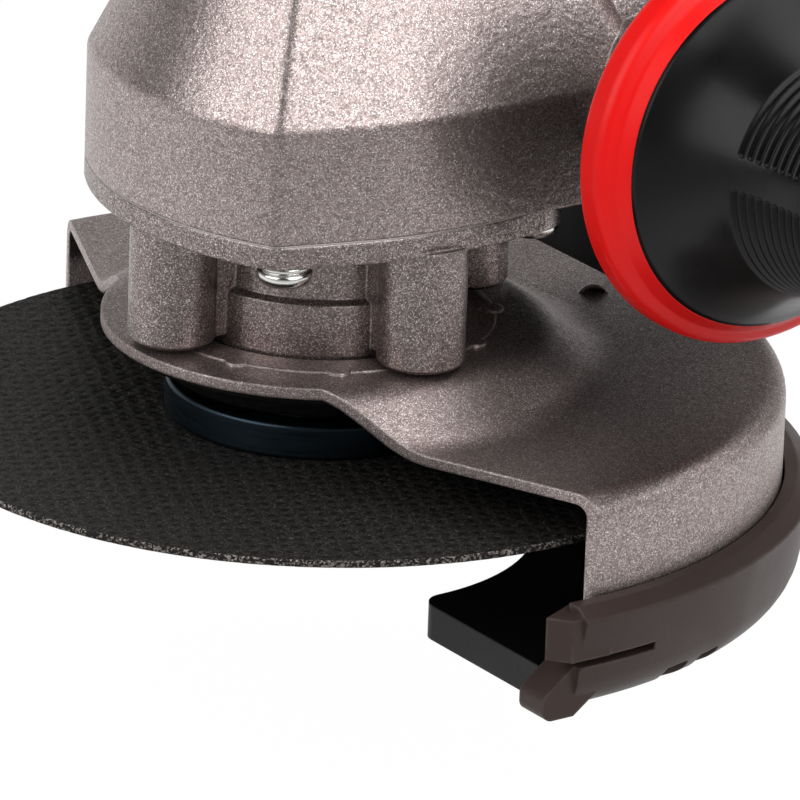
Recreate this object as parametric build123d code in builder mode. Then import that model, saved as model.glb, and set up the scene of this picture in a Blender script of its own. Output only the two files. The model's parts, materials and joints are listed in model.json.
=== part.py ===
"""Cordless angle grinder with a side handle, a turning guard and a clip-on cutting cover.

Millimetres. +Z runs up the output spindle, +X to the battery and -Y to the side handle.
The origin is on the spindle's axis, at the free end of its full-diameter thread.
"""

import os
from math import acos, atan2, cos, hypot, pi, radians, sin, tan

from build123d import *

os.makedirs("parts", exist_ok=True)

# Fits: turning parts, sliding parts, pieces that are only laid together, and how far cuts run past a face
running_gap = 0.05
slide_gap = 0.3
lay_gap = 0.02
cut_over = 1.0

# Cutting disc and what clamps it on the M14 thread
disc_r = 57.5
disc_t = 1.0
disc_bore_r = 12.0
arbor_r = 11.12
thread_r = 7.0
thread_chamfer = 1.0
thread_free = 4.5
thread_relief_w = 0.5
thread_relief = 0.4
nut_t = 6.5
nut_r = 20.0
nut_pin_r = 2.6
nut_pin_pcd = 15.0
nut_pin_count = 4
nut_chamfer = 1.0
flange_r = 20.8
flange_h = 5.0
flange_rim = 2.2
flange_floor = 3.0
flange_hub_r = 11.5
flange_hub_h = 6.2
flange_draft = 0.8
flange_round = 0.6
pilot_h = 0.8

# Levels above the disc's upper face, which is the seat of the inner flange
neck_rise = 6.5
platform_rise = 14.0
plate_rise = 31.4
parting_rise = 34.8
axis_rise = 48.5
crease_rise = 50.5
roof_rise = 69.0
floor_drop = 22.0
seat_z = thread_free + nut_t + disc_t
flange_top_z = seat_z + flange_hub_h
neck_bottom_z = seat_z + neck_rise
platform_z = seat_z + platform_rise
plate_bottom_z = seat_z + plate_rise
parting_z = seat_z + parting_rise
axis_z = seat_z + axis_rise
crease_z = seat_z + crease_rise
roof_z = seat_z + roof_rise
floor_z = seat_z - floor_drop

# Spindle, its ball bearing (12 x 32 x 10) and its needle bush (8 x 12 x 9)
collar_r = 9.0
spindle_r = 6.0
spindle_neck_r = 5.0
journal_r = 4.0
bush_r = 6.0
bush_h = 9.0
spindle_bearing_r = 16.0
spindle_bearing_w = 10.0
spindle_bearing_rise = 18.0
spindle_bearing_z = seat_z + spindle_bearing_rise
shoulder_taper = 0.6
roof_web = 1.5
gear_lead = 1.2
gear_clip_t = 1.0
gear_clip_w = 1.8
gear_clip_groove = 0.6
gear_clip_slot = 3.0
retainer_t = 2.0
retainer_r = 17.0
retainer_land = 4.0
retainer_pin_in = 1.8
retainer_pin_r = 1.2
seal_t = 3.0
seal_r = 12.5
seal_web = 1.0
collar_clear = 0.8
race_share = 0.26
shield_t = 0.8

# Bevel gears: shared module and face width, and the crown gear's body
module = 1.35
pinion_teeth = 10
crown_teeth = 33
face_width = 6.0
pinion_addendum = 1.45
crown_addendum = 0.85
root_gap = 0.3
tooth_root = 0.3
undercut_share = 0.35
pressure = radians(20)
profile_shift = 0.25
backlash = 0.13
crown_web_t = 5.5
crown_hub_r = 8.5
crown_rim = 2.6
crown_back_h = 2.0
crown_edge = 0.8
lock_hole_r = 2.4
lock_hole_count = 4

# Bearing cover: a neck, four bosses round it and the plate under the gear head
neck_r = 18.5
neck_waist_r = 17.2
neck_step = 0.6
neck_step_rise = 21.4
neck_step_z = seat_z + neck_step_rise
neck_flare_rise = 26.8
neck_flare_z = seat_z + neck_flare_rise
neck_flare_r = 24.0
lip_r = 21.0
lip_h = 3.0
notch_angle = 70
notch_w = 5.0
boss_r = 6.0
boss_pcd = 24.2
boss_count = 4
boss_lift = 0.6
boss_sink = 0.5
boss_chamfer = 0.6
boss_web_w = 8.0
gear_pocket_r = 24.0
gear_pocket_depth = 2.7

# Gear head plan: bowed nose, crisp front corners, sides that widen to the rear
nose_x = 30.4
corner_x = 23.6
corner_half = 23.3
corner_round = 3.0
flank_x = 6.5
flank_half = 28.5
side_x = 8.0
side_half = 29.3
crease_round = 3.0
cover_rear_x = 28.6
cover_rear_half = 13.0
cover_hip_x = 20.5
cover_hip_half = 27.6
head_round = 7.0
flank_round = 40.0
parting_chamfer = 0.35
roof_scale = 0.72
roof_round = 3.5
chamber_r = 24.6
chamber_taper = 8.0
hood_front_x = -4.0
hood_front_r = 15.0
hood_rear_r = 29.0
screw_x = 20.2
screw_y = 20.6
screw_r = 2.0
screw_clear = 0.2
screw_tip_gap = 1.0
screw_head_round = 1.4
screw_head_r = 3.3
screw_head_h = 2.4
screw_washer_r = 3.6
screw_washer_t = 0.8
screw_grip = 10.0

# Rear end of the gear head, where the motor casing is bolted on
tail_x = 38.0
tail_flange_t = 8.0
tail_half = 31.5
tail_round = 14.0
tail_bolt = 23.0
tail_bolt_r = 2.0
tail_bolt_head_r = 3.6
tail_bolt_head_h = 3.4
tail_bolt_len = 30.0
bolt_clear = 0.2
bolt_head_clear = 0.6
fan_pocket = 4.0
fan_eye_r = 19.5

# M8 sockets for the side handle on both sides of the head
handle_x = 35.5
handle_z = axis_z
socket_boss_r = 10.4
socket_face_y = 34.0
socket_r = 3.4
socket_depth = 17.0

# Spindle lock button on the roof
lock_x = -12.0
lock_pin_r = 2.0
lock_pin_clear = 0.15
lock_round = 1.6
lock_spring_r = 4.2
lock_travel = 4.0
lock_r = 7.5
lock_wall = 1.5
lock_pocket_depth = 6.0
lock_rise = 4.6
lock_gap = 1.0
spring_turns = 5
spring_wire_r = 0.5

# Motor: shaft, bearings (10 x 26 x 8 and 8 x 22 x 7), fan, rotor and stator
pinion_bore_r = 3.0
shaft_r = 5.0
shaft_rear_r = 4.0
front_bearing_x = 26.0
front_bearing_r = 13.0
front_bearing_w = 8.0
pinion_bay_x = 8.0
bearing_stop = 3.0
rear_bearing_x = 122.0
rear_bearing_r = 11.0
rear_bearing_w = 7.0
pinion_nut_af = 9.0
pinion_nut_t = 4.0
shaft_proud = 0.6
shaft_tail = 1.0
shaft_clear = 2.0
fan_x = 53.0
fan_w = 11.0
fan_r = 25.5
fan_hub_r = 9.0
fan_disc_t = 1.6
fan_blades = 9
fan_blade_t = 1.4
fan_blade_in = 1.5
fan_blade_set = 3.0
fan_blade_lean = 14
fan_tip_gap = 1.0
stator_x = 70.0
stator_len = 32.0
stator_r = 27.0
stator_bore_r = 13.0
stator_yoke = 4.0
stator_teeth = 6
tooth_w = 6.0
tooth_shoe = 2.0
tooth_sink = 1.0
shoe_set = 0.6
shoe_over = 4.0
coil_end_gap = 1.6
coil_t = 3.0
coil_over = 4.0
rotor_gap = 0.5
magnet_count = 4
magnet_w = 11.0
magnet_t = 2.4
magnet_cover = 2.7

# Motor casing: barrel, shoulder, slim grip, flare and the dock for the battery
baffle_t = 4.0
barrel_round = 16.0
barrel_end_x = 116.0
grip_x = 150.0
grip_half = 21.0
grip_half_h = 23.0
grip_round = 16.0
grip_end_x = 194.0
dock_x = 216.0
dock_rear_x = 236.0
dock_half = 36.5
dock_rise = 72.0
dock_top_z = seat_z + dock_rise
dock_drop = 4.0
dock_bottom_z = seat_z - dock_drop
dock_edge = 2.0
dock_round = 12.0
blend_steps = 6
motor_bay_r = stator_r + slide_gap
bulkhead_x = 120.0
bulkhead_t = 11.0
grip_bay_r = 16.5
dock_bay_x = 206.0
dock_bay_half = 32.0
dock_bay_low = 8.0
dock_bay_bottom_z = seat_z + dock_bay_low
dock_bay_high = 60.0
dock_bay_top_z = seat_z + dock_bay_high
dock_wall = 3.0
pad_depth = 1.4
pad_margin = 2.0
pad_top = 7.0
vent_w = 2.4
vent_pitch = 5.0
vent_len = 22.0
outlet_count = 3
outlet_x = 54.0
inlet_count = 4
inlet_x = 218.0
shell_screw_r = 1.7
shell_screw_head_r = 3.2
shell_screw_head_h = 2.2
shell_screw_head_y = 15.0
shell_screw_grip = 12.0
bulkhead_screw_up = 20.0
bulkhead_screw_down = 19.0
dock_screw_in = 12.0
dock_screw_off = 6.0

# Slide switch on top of the casing, its rod and the switch that it works
slider_x = 88.0
slider_len = 32.0
slider_w = 16.0
slider_h = 4.0
slider_round = 3.5
slider_edge = 0.8
slider_taper = 12
slider_groove_count = 4
slider_groove_r = 1.0
slider_groove_in = 9.0
slider_groove_pitch = 4.0
slider_travel = 7.0
slider_stem_x = 114.0
slider_stem_len = 5.0
slider_stem_w = 5.0
slider_stem_sink = 1.0
rod_h = 3.6
rod_lift = 12.2
rod_end_x = 168.0
switch_x = 150.0
switch_len = 34.0
switch_half = 8.0
switch_h = 19.0
switch_round = 1.0
control_board_in = 8.0
control_board_t = 10.0

# Battery: slides upwards off a T-shaped rail on the dock
battery_half = 37.5
battery_depth = 45.0
battery_rise = 86.0
battery_top_z = seat_z + battery_rise
battery_edge = 1.5
battery_rear_round = 5.0
battery_board_t = 1.6
battery_round = 7.0
battery_split = 26.0
battery_wall = 2.6
rail_neck_half = 19.0
rail_half = 24.0
rail_neck_t = 3.5
rail_t = 3.5
rail_low = 2.0
rail_bottom_z = seat_z + rail_low
rail_high = 60.0
rail_top_z = seat_z + rail_high
terminal_half = 14.0
terminal_h = 30.0
terminal_flange = 3.0
terminal_flange_t = 4.0
terminal_set = 0.5
contact_count = 4
contact_pitch = 6.0
contact_w = 2.0
contact_t = 1.6
cell_r = 9.1
cell_len = 65.0
cell_count = 5
cell_pitch = 19.4
latch_half = 13.0
latch_travel = 3.0
latch_pad_rise = 2.6
latch_depth = 5.0
latch_h = 8.6
latch_lift = 0.5
latch_round = 1.2
hook_half = 8.0
hook_h = 6.0
hook_reach = 1.8

# Guard: pressed sheet with a raised platform, cut back at the front
guard_t = 1.5
guard_r = 64.3
guard_flat_rise = 8.0
guard_flat_z = seat_z + guard_flat_rise
guard_corner = 3.2
guard_skirt_drop = 13.0
guard_skirt_z = seat_z - guard_skirt_drop
dome_base_r = 39.0
dome_top_r = 30.5
dome_round = 8.0
tongue_r = 29.8
edge_start_share = 0.8
guard_hole_r = 19.2
guard_edge_x = -11.5
guard_edge_y = 36.0
guard_end_x = 0.0
guard_end_y = 62.0
collar_ring_r = 26.5
collar_ring_t = 2.4
bead_r = 24.2
bead_w = 0.8
bump_r = 1.6
bump_h = 0.4
bump_angles = (28, 62)
louver_x = 47.1
louver_y = 0.7
louver_turn = -26
louver_r = 2.1
louver_h = 1.2
louver_t = 0.4

# Clip-on cutting cover under the disc
clip_gap = 0.35
clip_r = 68.8
clip_crown_r = 66.4
clip_foot_r = 66.4
clip_top_drop = 5.8
clip_top_z = seat_z - clip_top_drop
clip_edge_drop = 7.2
clip_edge_z = seat_z - clip_edge_drop
clip_plate_drop = 17.0
clip_plate_z = seat_z - clip_plate_drop
clip_plate_t = 2.6
clip_bottom_drop = 21.4
clip_bottom_z = seat_z - clip_bottom_drop
clip_round = 6.0
clip_edge_round = 0.5
clip_rim_flat = 2.0
clip_inner_r = 30.6
clip_front_x = -3.2
clip_corner = 3.0
clip_lip = 2.0
clip_shelf = 2.2
claw_x = -7.3
claw_corner_x = -4.9
claw_end_x = -1.4
claw_tip_y = 65.1
claw_root_y = 62.4
claw_y = 68.0
claw_h = 6.0
tab_x = -8.2
tab_y = 61.0
tab_w = 5.4
tab_nose_drop = 18.0
tab_nose_z = seat_z - tab_nose_drop
tab_round = 1.5
slit_h = 1.2
slit_drop = 13.6
slit_z = seat_z - slit_drop
slit_end_x = 9.4
nick_angles = (77, 71)
nick_r = 2.4
nick_h = 3.2

# Side handle along -Y: steel stud, red collar and rubber grip
stud_hex_r = 6.0
stud_in = 14.0
stud_core = 28.0
collar_neck_r = 12.0
collar_back = 9.0
collar_rim_r = 28.4
collar_rim_d = 14.4
collar_rim_w = 4.4
collar_groove_r = 26.2
collar_slope_r = 2.0
collar_slope_d = 1.0
collar_front_d = 21.6
collar_rounds = (3.0, 1.2, 2.0, 1.8, 1.0)
core_r = 10.5
core_len = 104.0
bell_r = 24.9
bell_swell = 2.6
grip_neck_r = 16.4
grip_neck_d = 36.0
grip_belly_r = 18.2
grip_belly_d = 78.0
grip_tail_r = 16.8
grip_tail_d = 102.0
grip_end_r = 19.8
grip_end_d = 116.0
handle_len = 124.0
handle_turn = 10.3
groove_start = 14.6
groove_pitch = 1.45
groove_w = 0.85
groove_depth = 0.7
groove_lift = 0.4
groove_count = 42
web_half = 7.6

# Frames for turned pieces: local x is the radius and local y runs along the axis
SPINDLE = Plane.XZ
MOTOR = Plane(origin=(0, 0, axis_z), x_dir=(0, 0, 1), z_dir=(0, 1, 0))
LOCK = Plane(origin=(lock_x, 0, 0), x_dir=(1, 0, 0), z_dir=(0, -1, 0))
HANDLE = Plane(origin=(handle_x, -socket_face_y, handle_z), x_dir=(0, 0, 1), z_dir=(1, 0, 0))
louver_way = radians(louver_turn)
LOUVER = Plane(
    origin=(louver_x, louver_y, guard_flat_z),
    x_dir=(cos(louver_way), sin(louver_way), 0),
    z_dir=(sin(louver_way), -cos(louver_way), 0),
)


def axis_of(frame):
    """The turning axis of a frame."""
    return Axis(frame.origin, frame.y_dir)


def turn(points, frame=SPINDLE, mode=Mode.ADD):
    """Turn a closed outline of (radius, distance along the axis) points."""
    with BuildSketch(frame) as outline:
        with BuildLine():
            Polyline(*points, close=True)
        make_face()
    revolve(outline.sketch, axis=axis_of(frame), mode=mode)


def ring(outer, inner, start, end, frame=SPINDLE, mode=Mode.ADD):
    """A plain ring, or a plain cylinder where the inner radius is zero."""
    turn([(inner, start), (outer, start), (outer, end), (inner, end)], frame, mode)


def post(x, y, radius, start, end, mode=Mode.ADD):
    """An upright cylinder."""
    with BuildSketch(Plane.XY.offset(start)) as foot:
        with Locations((x, y)):
            Circle(radius)
    extrude(foot.sketch, amount=end - start, mode=mode)


def block(x0, x1, y0, y1, z0, z1, mode=Mode.ADD):
    """A rectangular block between two corners."""
    with Locations(((x0 + x1) / 2, (y0 + y1) / 2, (z0 + z1) / 2)):
        Box(x1 - x0, y1 - y0, z1 - z0, mode=mode)


def keep(piece, name):
    """Label a finished piece and write it."""
    piece.part.label = name
    export_step(piece.part, f"parts/{name}.step")


def coil_spring(name, base, radius, length):
    """A compression spring standing on its base point."""
    pitch = (length - 2 * spring_wire_r) / spring_turns
    path = Helix(pitch, pitch * spring_turns, radius, center=base + Vector(0, 0, spring_wire_r))
    with BuildPart() as spring:
        with BuildSketch(Plane(path @ 0, z_dir=path % 0)) as wire:
            RegularPolygon(spring_wire_r, 6)
        sweep(wire.sketch, path=path)
    keep(spring, name)


# Cutting disc with the steel ring that lines its bore
with BuildPart() as cutting_disc:
    ring(disc_r, disc_bore_r, seat_z - disc_t, seat_z)
keep(cutting_disc, "cutting_disc")

with BuildPart() as disc_hub_ring:
    ring(disc_bore_r, arbor_r, seat_z - disc_t, seat_z)
keep(disc_hub_ring, "disc_hub_ring")

# Inner flange: seat ring, raised outer rim, and a pilot that centres the disc
with BuildPart() as inner_flange:
    turn(
        [
            (thread_r, seat_z - pilot_h),
            (arbor_r - running_gap, seat_z - pilot_h),
            (arbor_r - running_gap, seat_z),
            (flange_r, seat_z),
            (flange_r, seat_z + flange_h),
            (flange_r - flange_rim, seat_z + flange_h),
            (flange_r - flange_rim - flange_draft, seat_z + flange_floor),
            (flange_hub_r + flange_draft, seat_z + flange_floor),
            (flange_hub_r, flange_top_z),
            (thread_r, flange_top_z),
        ]
    )
    fillet(inner_flange.edges().filter_by(GeomType.CIRCLE).sort_by(SortBy.RADIUS)[-2:], flange_round)
keep(inner_flange, "inner_flange")

# Clamping nut with its four pin-spanner holes
with BuildPart() as clamp_nut:
    ring(nut_r, thread_r, thread_free, thread_free + nut_t)
    with Locations((0, 0, thread_free)):
        with PolarLocations(nut_pin_pcd, nut_pin_count, start_angle=180 / nut_pin_count):
            Hole(nut_pin_r)
    chamfer(clamp_nut.edges().filter_by(GeomType.CIRCLE).sort_by(SortBy.RADIUS)[-2:], nut_chamfer)
keep(clamp_nut, "clamp_nut")

# Spindle, turned from the free end of its thread to the journal in the roof
gear_top_z = axis_z - module * pinion_teeth / 2 - gear_lead
bearing_top_z = spindle_bearing_z + spindle_bearing_w
bush_z = roof_z - lock_pocket_depth - roof_web - bush_h
with BuildPart() as spindle:
    turn(
        [
            (0, -thread_chamfer),
            (thread_r - thread_chamfer, -thread_chamfer),
            (thread_r, 0),
            (thread_r, thread_free - thread_relief_w),
            (thread_r - thread_relief, thread_free - thread_relief_w),
            (thread_r - thread_relief, thread_free),
            (thread_r, thread_free),
            (thread_r, flange_top_z),
            (collar_r, flange_top_z),
            (collar_r, spindle_bearing_z),
            (spindle_r, spindle_bearing_z),
            (spindle_r, gear_top_z),
            (spindle_r - gear_clip_groove, gear_top_z),
            (spindle_r - gear_clip_groove, gear_top_z + gear_clip_t),
            (spindle_r, gear_top_z + gear_clip_t),
            (spindle_r, gear_top_z + 2 * gear_clip_t),
            (spindle_neck_r, gear_top_z + 2 * gear_clip_t + shoulder_taper),
            (spindle_neck_r, bush_z - 2 * shoulder_taper),
            (journal_r, bush_z - shoulder_taper),
            (journal_r, bush_z + bush_h),
            (0, bush_z + bush_h),
        ]
    )
keep(spindle, "spindle")

# Split ring that holds the crown gear on the spindle
with BuildPart() as gear_clip:
    clip_top = gear_top_z + gear_clip_t
    slot = gear_clip_slot / 2
    ring(spindle_r + gear_clip_w, spindle_r - gear_clip_groove, gear_top_z, clip_top)
    block(-2 * spindle_r, 0, -slot, slot, gear_top_z, clip_top, mode=Mode.SUBTRACT)
keep(gear_clip, "gear_clip")


def sealed_bearing(name, frame, bore_r, outer_r, start, width):
    """A sealed ball bearing: the outer race with its two shields, and the inner race."""
    race = race_share * (outer_r - bore_r)
    inner_edge = bore_r + race
    end = start + width
    with BuildPart() as outer_race:
        turn(
            [
                (outer_r, start),
                (outer_r, end),
                (inner_edge + running_gap, end),
                (inner_edge + running_gap, end - shield_t),
                (outer_r - race, end - shield_t),
                (outer_r - race, start + shield_t),
                (inner_edge + running_gap, start + shield_t),
                (inner_edge + running_gap, start),
            ],
            frame,
        )
    keep(outer_race, f"{name}_outer_race")
    with BuildPart() as inner_race:
        ring(inner_edge, bore_r, start, end, frame)
    keep(inner_race, f"{name}_inner_race")


sealed_bearing(
    "spindle_bearing", SPINDLE, spindle_r, spindle_bearing_r, spindle_bearing_z, spindle_bearing_w
)

# Needle bush in the roof, threaded ring over the bearing, felt ring round the spindle's collar
with BuildPart() as needle_bush:
    ring(bush_r, journal_r + running_gap, bush_z, bush_z + bush_h)
keep(needle_bush, "needle_bush")

with BuildPart() as bearing_retainer:
    ring(retainer_r, spindle_bearing_r - retainer_land, bearing_top_z, bearing_top_z + retainer_t)
    with PolarLocations(retainer_r - retainer_pin_in, 2):
        Hole(retainer_pin_r)
keep(bearing_retainer, "bearing_retainer")

seal_z = spindle_bearing_z - seal_web - seal_t
with BuildPart() as felt_seal:
    ring(seal_r, collar_r + slide_gap, seal_z, seal_z + seal_t)
keep(felt_seal, "felt_seal")

# Bevel gears: every tooth tapers to the point where the two axes cross
pinion_pitch_r = module * pinion_teeth / 2
crown_pitch_r = module * crown_teeth / 2
cone = atan2(pinion_teeth, crown_teeth)
cone_len = hypot(pinion_pitch_r, crown_pitch_r)
inner_scale = (cone_len - face_width) / cone_len
apex = Vector(0, 0, axis_z)
mesh_line = Vector(cos(cone), 0, -sin(cone))
pinion_dedendum = crown_addendum + root_gap
crown_dedendum = pinion_addendum + root_gap
half_pitch = pi * module / 2


def crown_half_width(height):
    """Half the thickness of a straight-sided crown tooth at a height from the pitch line."""
    return (half_pitch - profile_shift - backlash) / 2 - height * tan(pressure)


def pinion_half_width(height):
    """Half the thickness of an involute pinion tooth at a height from the pitch line."""
    pitch_r = pinion_pitch_r / cos(cone)
    base_r = pitch_r * cos(pressure)
    radius = max(pitch_r + height, base_r)
    roll = acos(base_r / radius)
    opening = (half_pitch + profile_shift - backlash) / (2 * pitch_r)
    opening += tan(pressure) - pressure - tan(roll) + roll
    undercut = undercut_share * max(0.0, base_r - pitch_r - height)
    return opening * radius - undercut


def bevel_tooth(half_width, heights, sense):
    """One tooth at the mesh line, between its large and its small end."""
    with BuildPart() as tooth:
        for scale in (1.0, inner_scale):
            spot = Plane(apex + mesh_line * cone_len * scale, x_dir=(0, 1, 0), z_dir=mesh_line)
            right = [(half_width(h) * scale, sense * h * scale) for h in heights]
            left = [(-x, y) for x, y in reversed(right)]
            with BuildSketch(spot):
                with BuildLine():
                    Polyline(*(right + left), close=True)
                make_face()
        loft(ruled=True)
    return tooth.part


def cone_points(pitch_r, pitch_d, lean, height):
    """The large and small ends of a cone line through the apex, as (radius, distance) points."""
    radius = pitch_r + height * cos(lean)
    distance = pitch_d - height * sin(lean)
    return [(radius, distance), (radius * inner_scale, distance * inner_scale)]


crown_lean = pi / 2 - cone
crown_tooth = bevel_tooth(crown_half_width, (-crown_dedendum - tooth_root, crown_addendum), 1)
crown_root = [
    (r, axis_z - d)
    for r, d in cone_points(crown_pitch_r, pinion_pitch_r, crown_lean, -crown_dedendum)
]
crown_bottom_z = gear_top_z - crown_web_t
lock_pcd = abs(lock_x)
with BuildPart() as crown_gear:
    turn(
        [
            (spindle_r, bearing_top_z),
            (crown_hub_r, bearing_top_z),
            (crown_hub_r, crown_bottom_z),
            (crown_root[0][0] - crown_rim, crown_bottom_z),
            (crown_root[0][0] - crown_edge, crown_bottom_z + crown_back_h),
            crown_root[0],
            crown_root[1],
            (crown_root[1][0] - crown_edge, gear_top_z),
            (spindle_r, gear_top_z),
        ]
    )
    add([crown_tooth.rotate(Axis.Z, (i + 0.5) * 360 / crown_teeth) for i in range(crown_teeth)])
    with Locations((0, 0, gear_top_z)):
        with PolarLocations(lock_pcd, lock_hole_count):
            Hole(lock_hole_r)
keep(crown_gear, "crown_gear")

pinion_heights = [-pinion_dedendum - tooth_root, -pinion_dedendum / 2]
pinion_heights += [0, pinion_addendum / 2, pinion_addendum]
pinion_tooth = bevel_tooth(pinion_half_width, pinion_heights, -1)
pinion_root = cone_points(pinion_pitch_r, crown_pitch_r, cone, -pinion_dedendum)
pinion_tip = cone_points(pinion_pitch_r, crown_pitch_r, cone, pinion_addendum)
pinion_end_x = pinion_tip[1][1] - slide_gap
with BuildPart() as pinion:
    turn(
        [
            (pinion_bore_r, pinion_end_x),
            (pinion_root[1][0], pinion_end_x),
            (pinion_root[1][0], pinion_root[1][1]),
            (pinion_root[0][0], pinion_root[0][1]),
            (pinion_root[0][0], front_bearing_x),
            (pinion_bore_r, front_bearing_x),
        ],
        MOTOR,
    )
    add([pinion_tooth.rotate(axis_of(MOTOR), i * 360 / pinion_teeth) for i in range(pinion_teeth)])
keep(pinion, "pinion")

with BuildPart() as pinion_nut:
    with BuildSketch(Plane.YZ.offset(pinion_end_x - pinion_nut_t)) as nut_face:
        with Locations((0, axis_z)):
            RegularPolygon(pinion_nut_af / 2, 6, major_radius=False)
            Circle(pinion_bore_r, mode=Mode.SUBTRACT)
    extrude(nut_face.sketch, amount=pinion_nut_t)
keep(pinion_nut, "pinion_nut")


def head_outline(level, tail, scale=1.0):
    """The plan of the gear head at a level, closed by the given tail points."""
    half = [(-corner_x, corner_half), (-flank_x, flank_half), (side_x, side_half)] + tail
    half = [(x * scale, y * scale) for x, y in half]
    corners = half + [(x, -y) for x, y in reversed(half)]
    with BuildSketch(Plane.XY.offset(level)) as plan:
        with BuildLine():
            Polyline(*corners)
            ThreePointArc(corners[-1], (-nose_x * scale, 0), corners[0])
        make_face()
        fillet(plan.vertices().group_by(Axis.X)[0], radius=corner_round * scale)
        rear = [v for v in plan.vertices() if v.X > (side_x + 1) * scale]
        fillet(rear, radius=head_round * scale)
        flanks = [v for v in plan.vertices() if abs(v.X) < (side_x + 1) * scale]
        fillet(flanks, radius=flank_round * scale)
    return plan.sketch


cover_tail = [(cover_hip_x, cover_hip_half), (cover_rear_x, cover_rear_half)]
head_tail = [(tail_x, side_half)]
screw_spots = [(sx * screw_x, sy * screw_y) for sx in (-1, 1) for sy in (-1, 1)]
boss_bottom_z = platform_z + boss_lift
lip_top_z = neck_bottom_z + lip_h

# Bearing cover: plate, flared neck, four bosses, and the lip that carries the guard
with BuildPart() as bearing_cover:
    with BuildSketch(Plane.XY.offset(boss_bottom_z)) as bosses:
        with PolarLocations(boss_pcd, boss_count):
            Circle(boss_r)
    extrude(bosses.sketch, amount=plate_bottom_z + boss_sink - boss_bottom_z)
    chamfer(bearing_cover.edges().group_by(Axis.Z)[0], boss_chamfer)
    extrude(head_outline(plate_bottom_z, cover_tail), amount=parting_z - plate_bottom_z)
    chamfer(bearing_cover.faces().sort_by(Axis.Z)[-1].edges(), parting_chamfer)
    with BuildSketch(Plane.XY.offset(boss_bottom_z + boss_chamfer)) as webs:
        with PolarLocations(boss_pcd / 2, boss_count):
            Rectangle(boss_pcd, boss_web_w)
    extrude(webs.sketch, amount=plate_bottom_z - boss_bottom_z - boss_chamfer)
    turn(
        [
            (collar_r, neck_bottom_z),
            (lip_r, neck_bottom_z),
            (lip_r, lip_top_z),
            (neck_r, lip_top_z),
            (neck_r, neck_step_z),
            (neck_waist_r, neck_step_z + neck_step),
            (neck_waist_r, neck_flare_z),
            (neck_flare_r, plate_bottom_z + boss_sink),
            (collar_r, plate_bottom_z + boss_sink),
        ]
    )
    turn(
        [
            (0, neck_bottom_z - cut_over),
            (collar_r + collar_clear, neck_bottom_z - cut_over),
            (collar_r + collar_clear, seal_z),
            (seal_r, seal_z),
            (seal_r, spindle_bearing_z),
            (spindle_bearing_r, spindle_bearing_z),
            (spindle_bearing_r, bearing_top_z),
            (retainer_r, bearing_top_z),
            (retainer_r, parting_z - gear_pocket_depth),
            (gear_pocket_r, parting_z - gear_pocket_depth),
            (gear_pocket_r, parting_z + cut_over),
            (0, parting_z + cut_over),
        ],
        mode=Mode.SUBTRACT,
    )
    for x, y in screw_spots:
        hole_r = screw_r + screw_clear
        post(x, y, hole_r, plate_bottom_z - cut_over, parting_z + cut_over, mode=Mode.SUBTRACT)
    with BuildSketch(Plane.XY.offset(neck_bottom_z)) as coding_notches:
        with PolarLocations((lip_r + neck_r) / 2, 2, start_angle=notch_angle):
            Rectangle(lip_r - neck_r + cut_over, notch_w)
    extrude(coding_notches.sketch, amount=lip_h, mode=Mode.SUBTRACT)
keep(bearing_cover, "bearing_cover")

# Four rounded screws with washers that hold the cover to the gear head
screw_seat_z = plate_bottom_z
with BuildPart() as cover_screws:
    for x, y in screw_spots:
        post(x, y, screw_washer_r, screw_seat_z - screw_washer_t, screw_seat_z)
        post(x, y, screw_r, screw_seat_z, parting_z + screw_grip)
        with BuildSketch(Plane.XY.offset(screw_seat_z - screw_washer_t)) as head:
            with Locations((x, y)):
                Circle(screw_head_r)
        extrude(head.sketch, amount=-screw_head_h)
    head_z = screw_seat_z - screw_washer_t - screw_head_h
    head_edges = cover_screws.edges().filter_by_position(Axis.Z, head_z - lay_gap, head_z + lay_gap)
    fillet(head_edges, screw_head_round)
keep(cover_screws, "cover_screws")

# Gear head casting: lower band, sloping shoulders, tapered neck, rear flange, handle bosses
tail_end_x = tail_x + tail_flange_t
chamber_top_z = bush_z
bolt_spots = [(sy * tail_bolt, axis_z + sz * tail_bolt) for sy in (-1, 1) for sz in (-1, 1)]


def casing_section(x, half, half_h, centre_z, round_r):
    """A rounded rectangle across the tool at a station along X."""
    with BuildSketch(Plane.YZ.offset(x)) as section:
        with Locations((0, centre_z)):
            RectangleRounded(2 * half, 2 * half_h, round_r)
    return section.sketch


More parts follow.
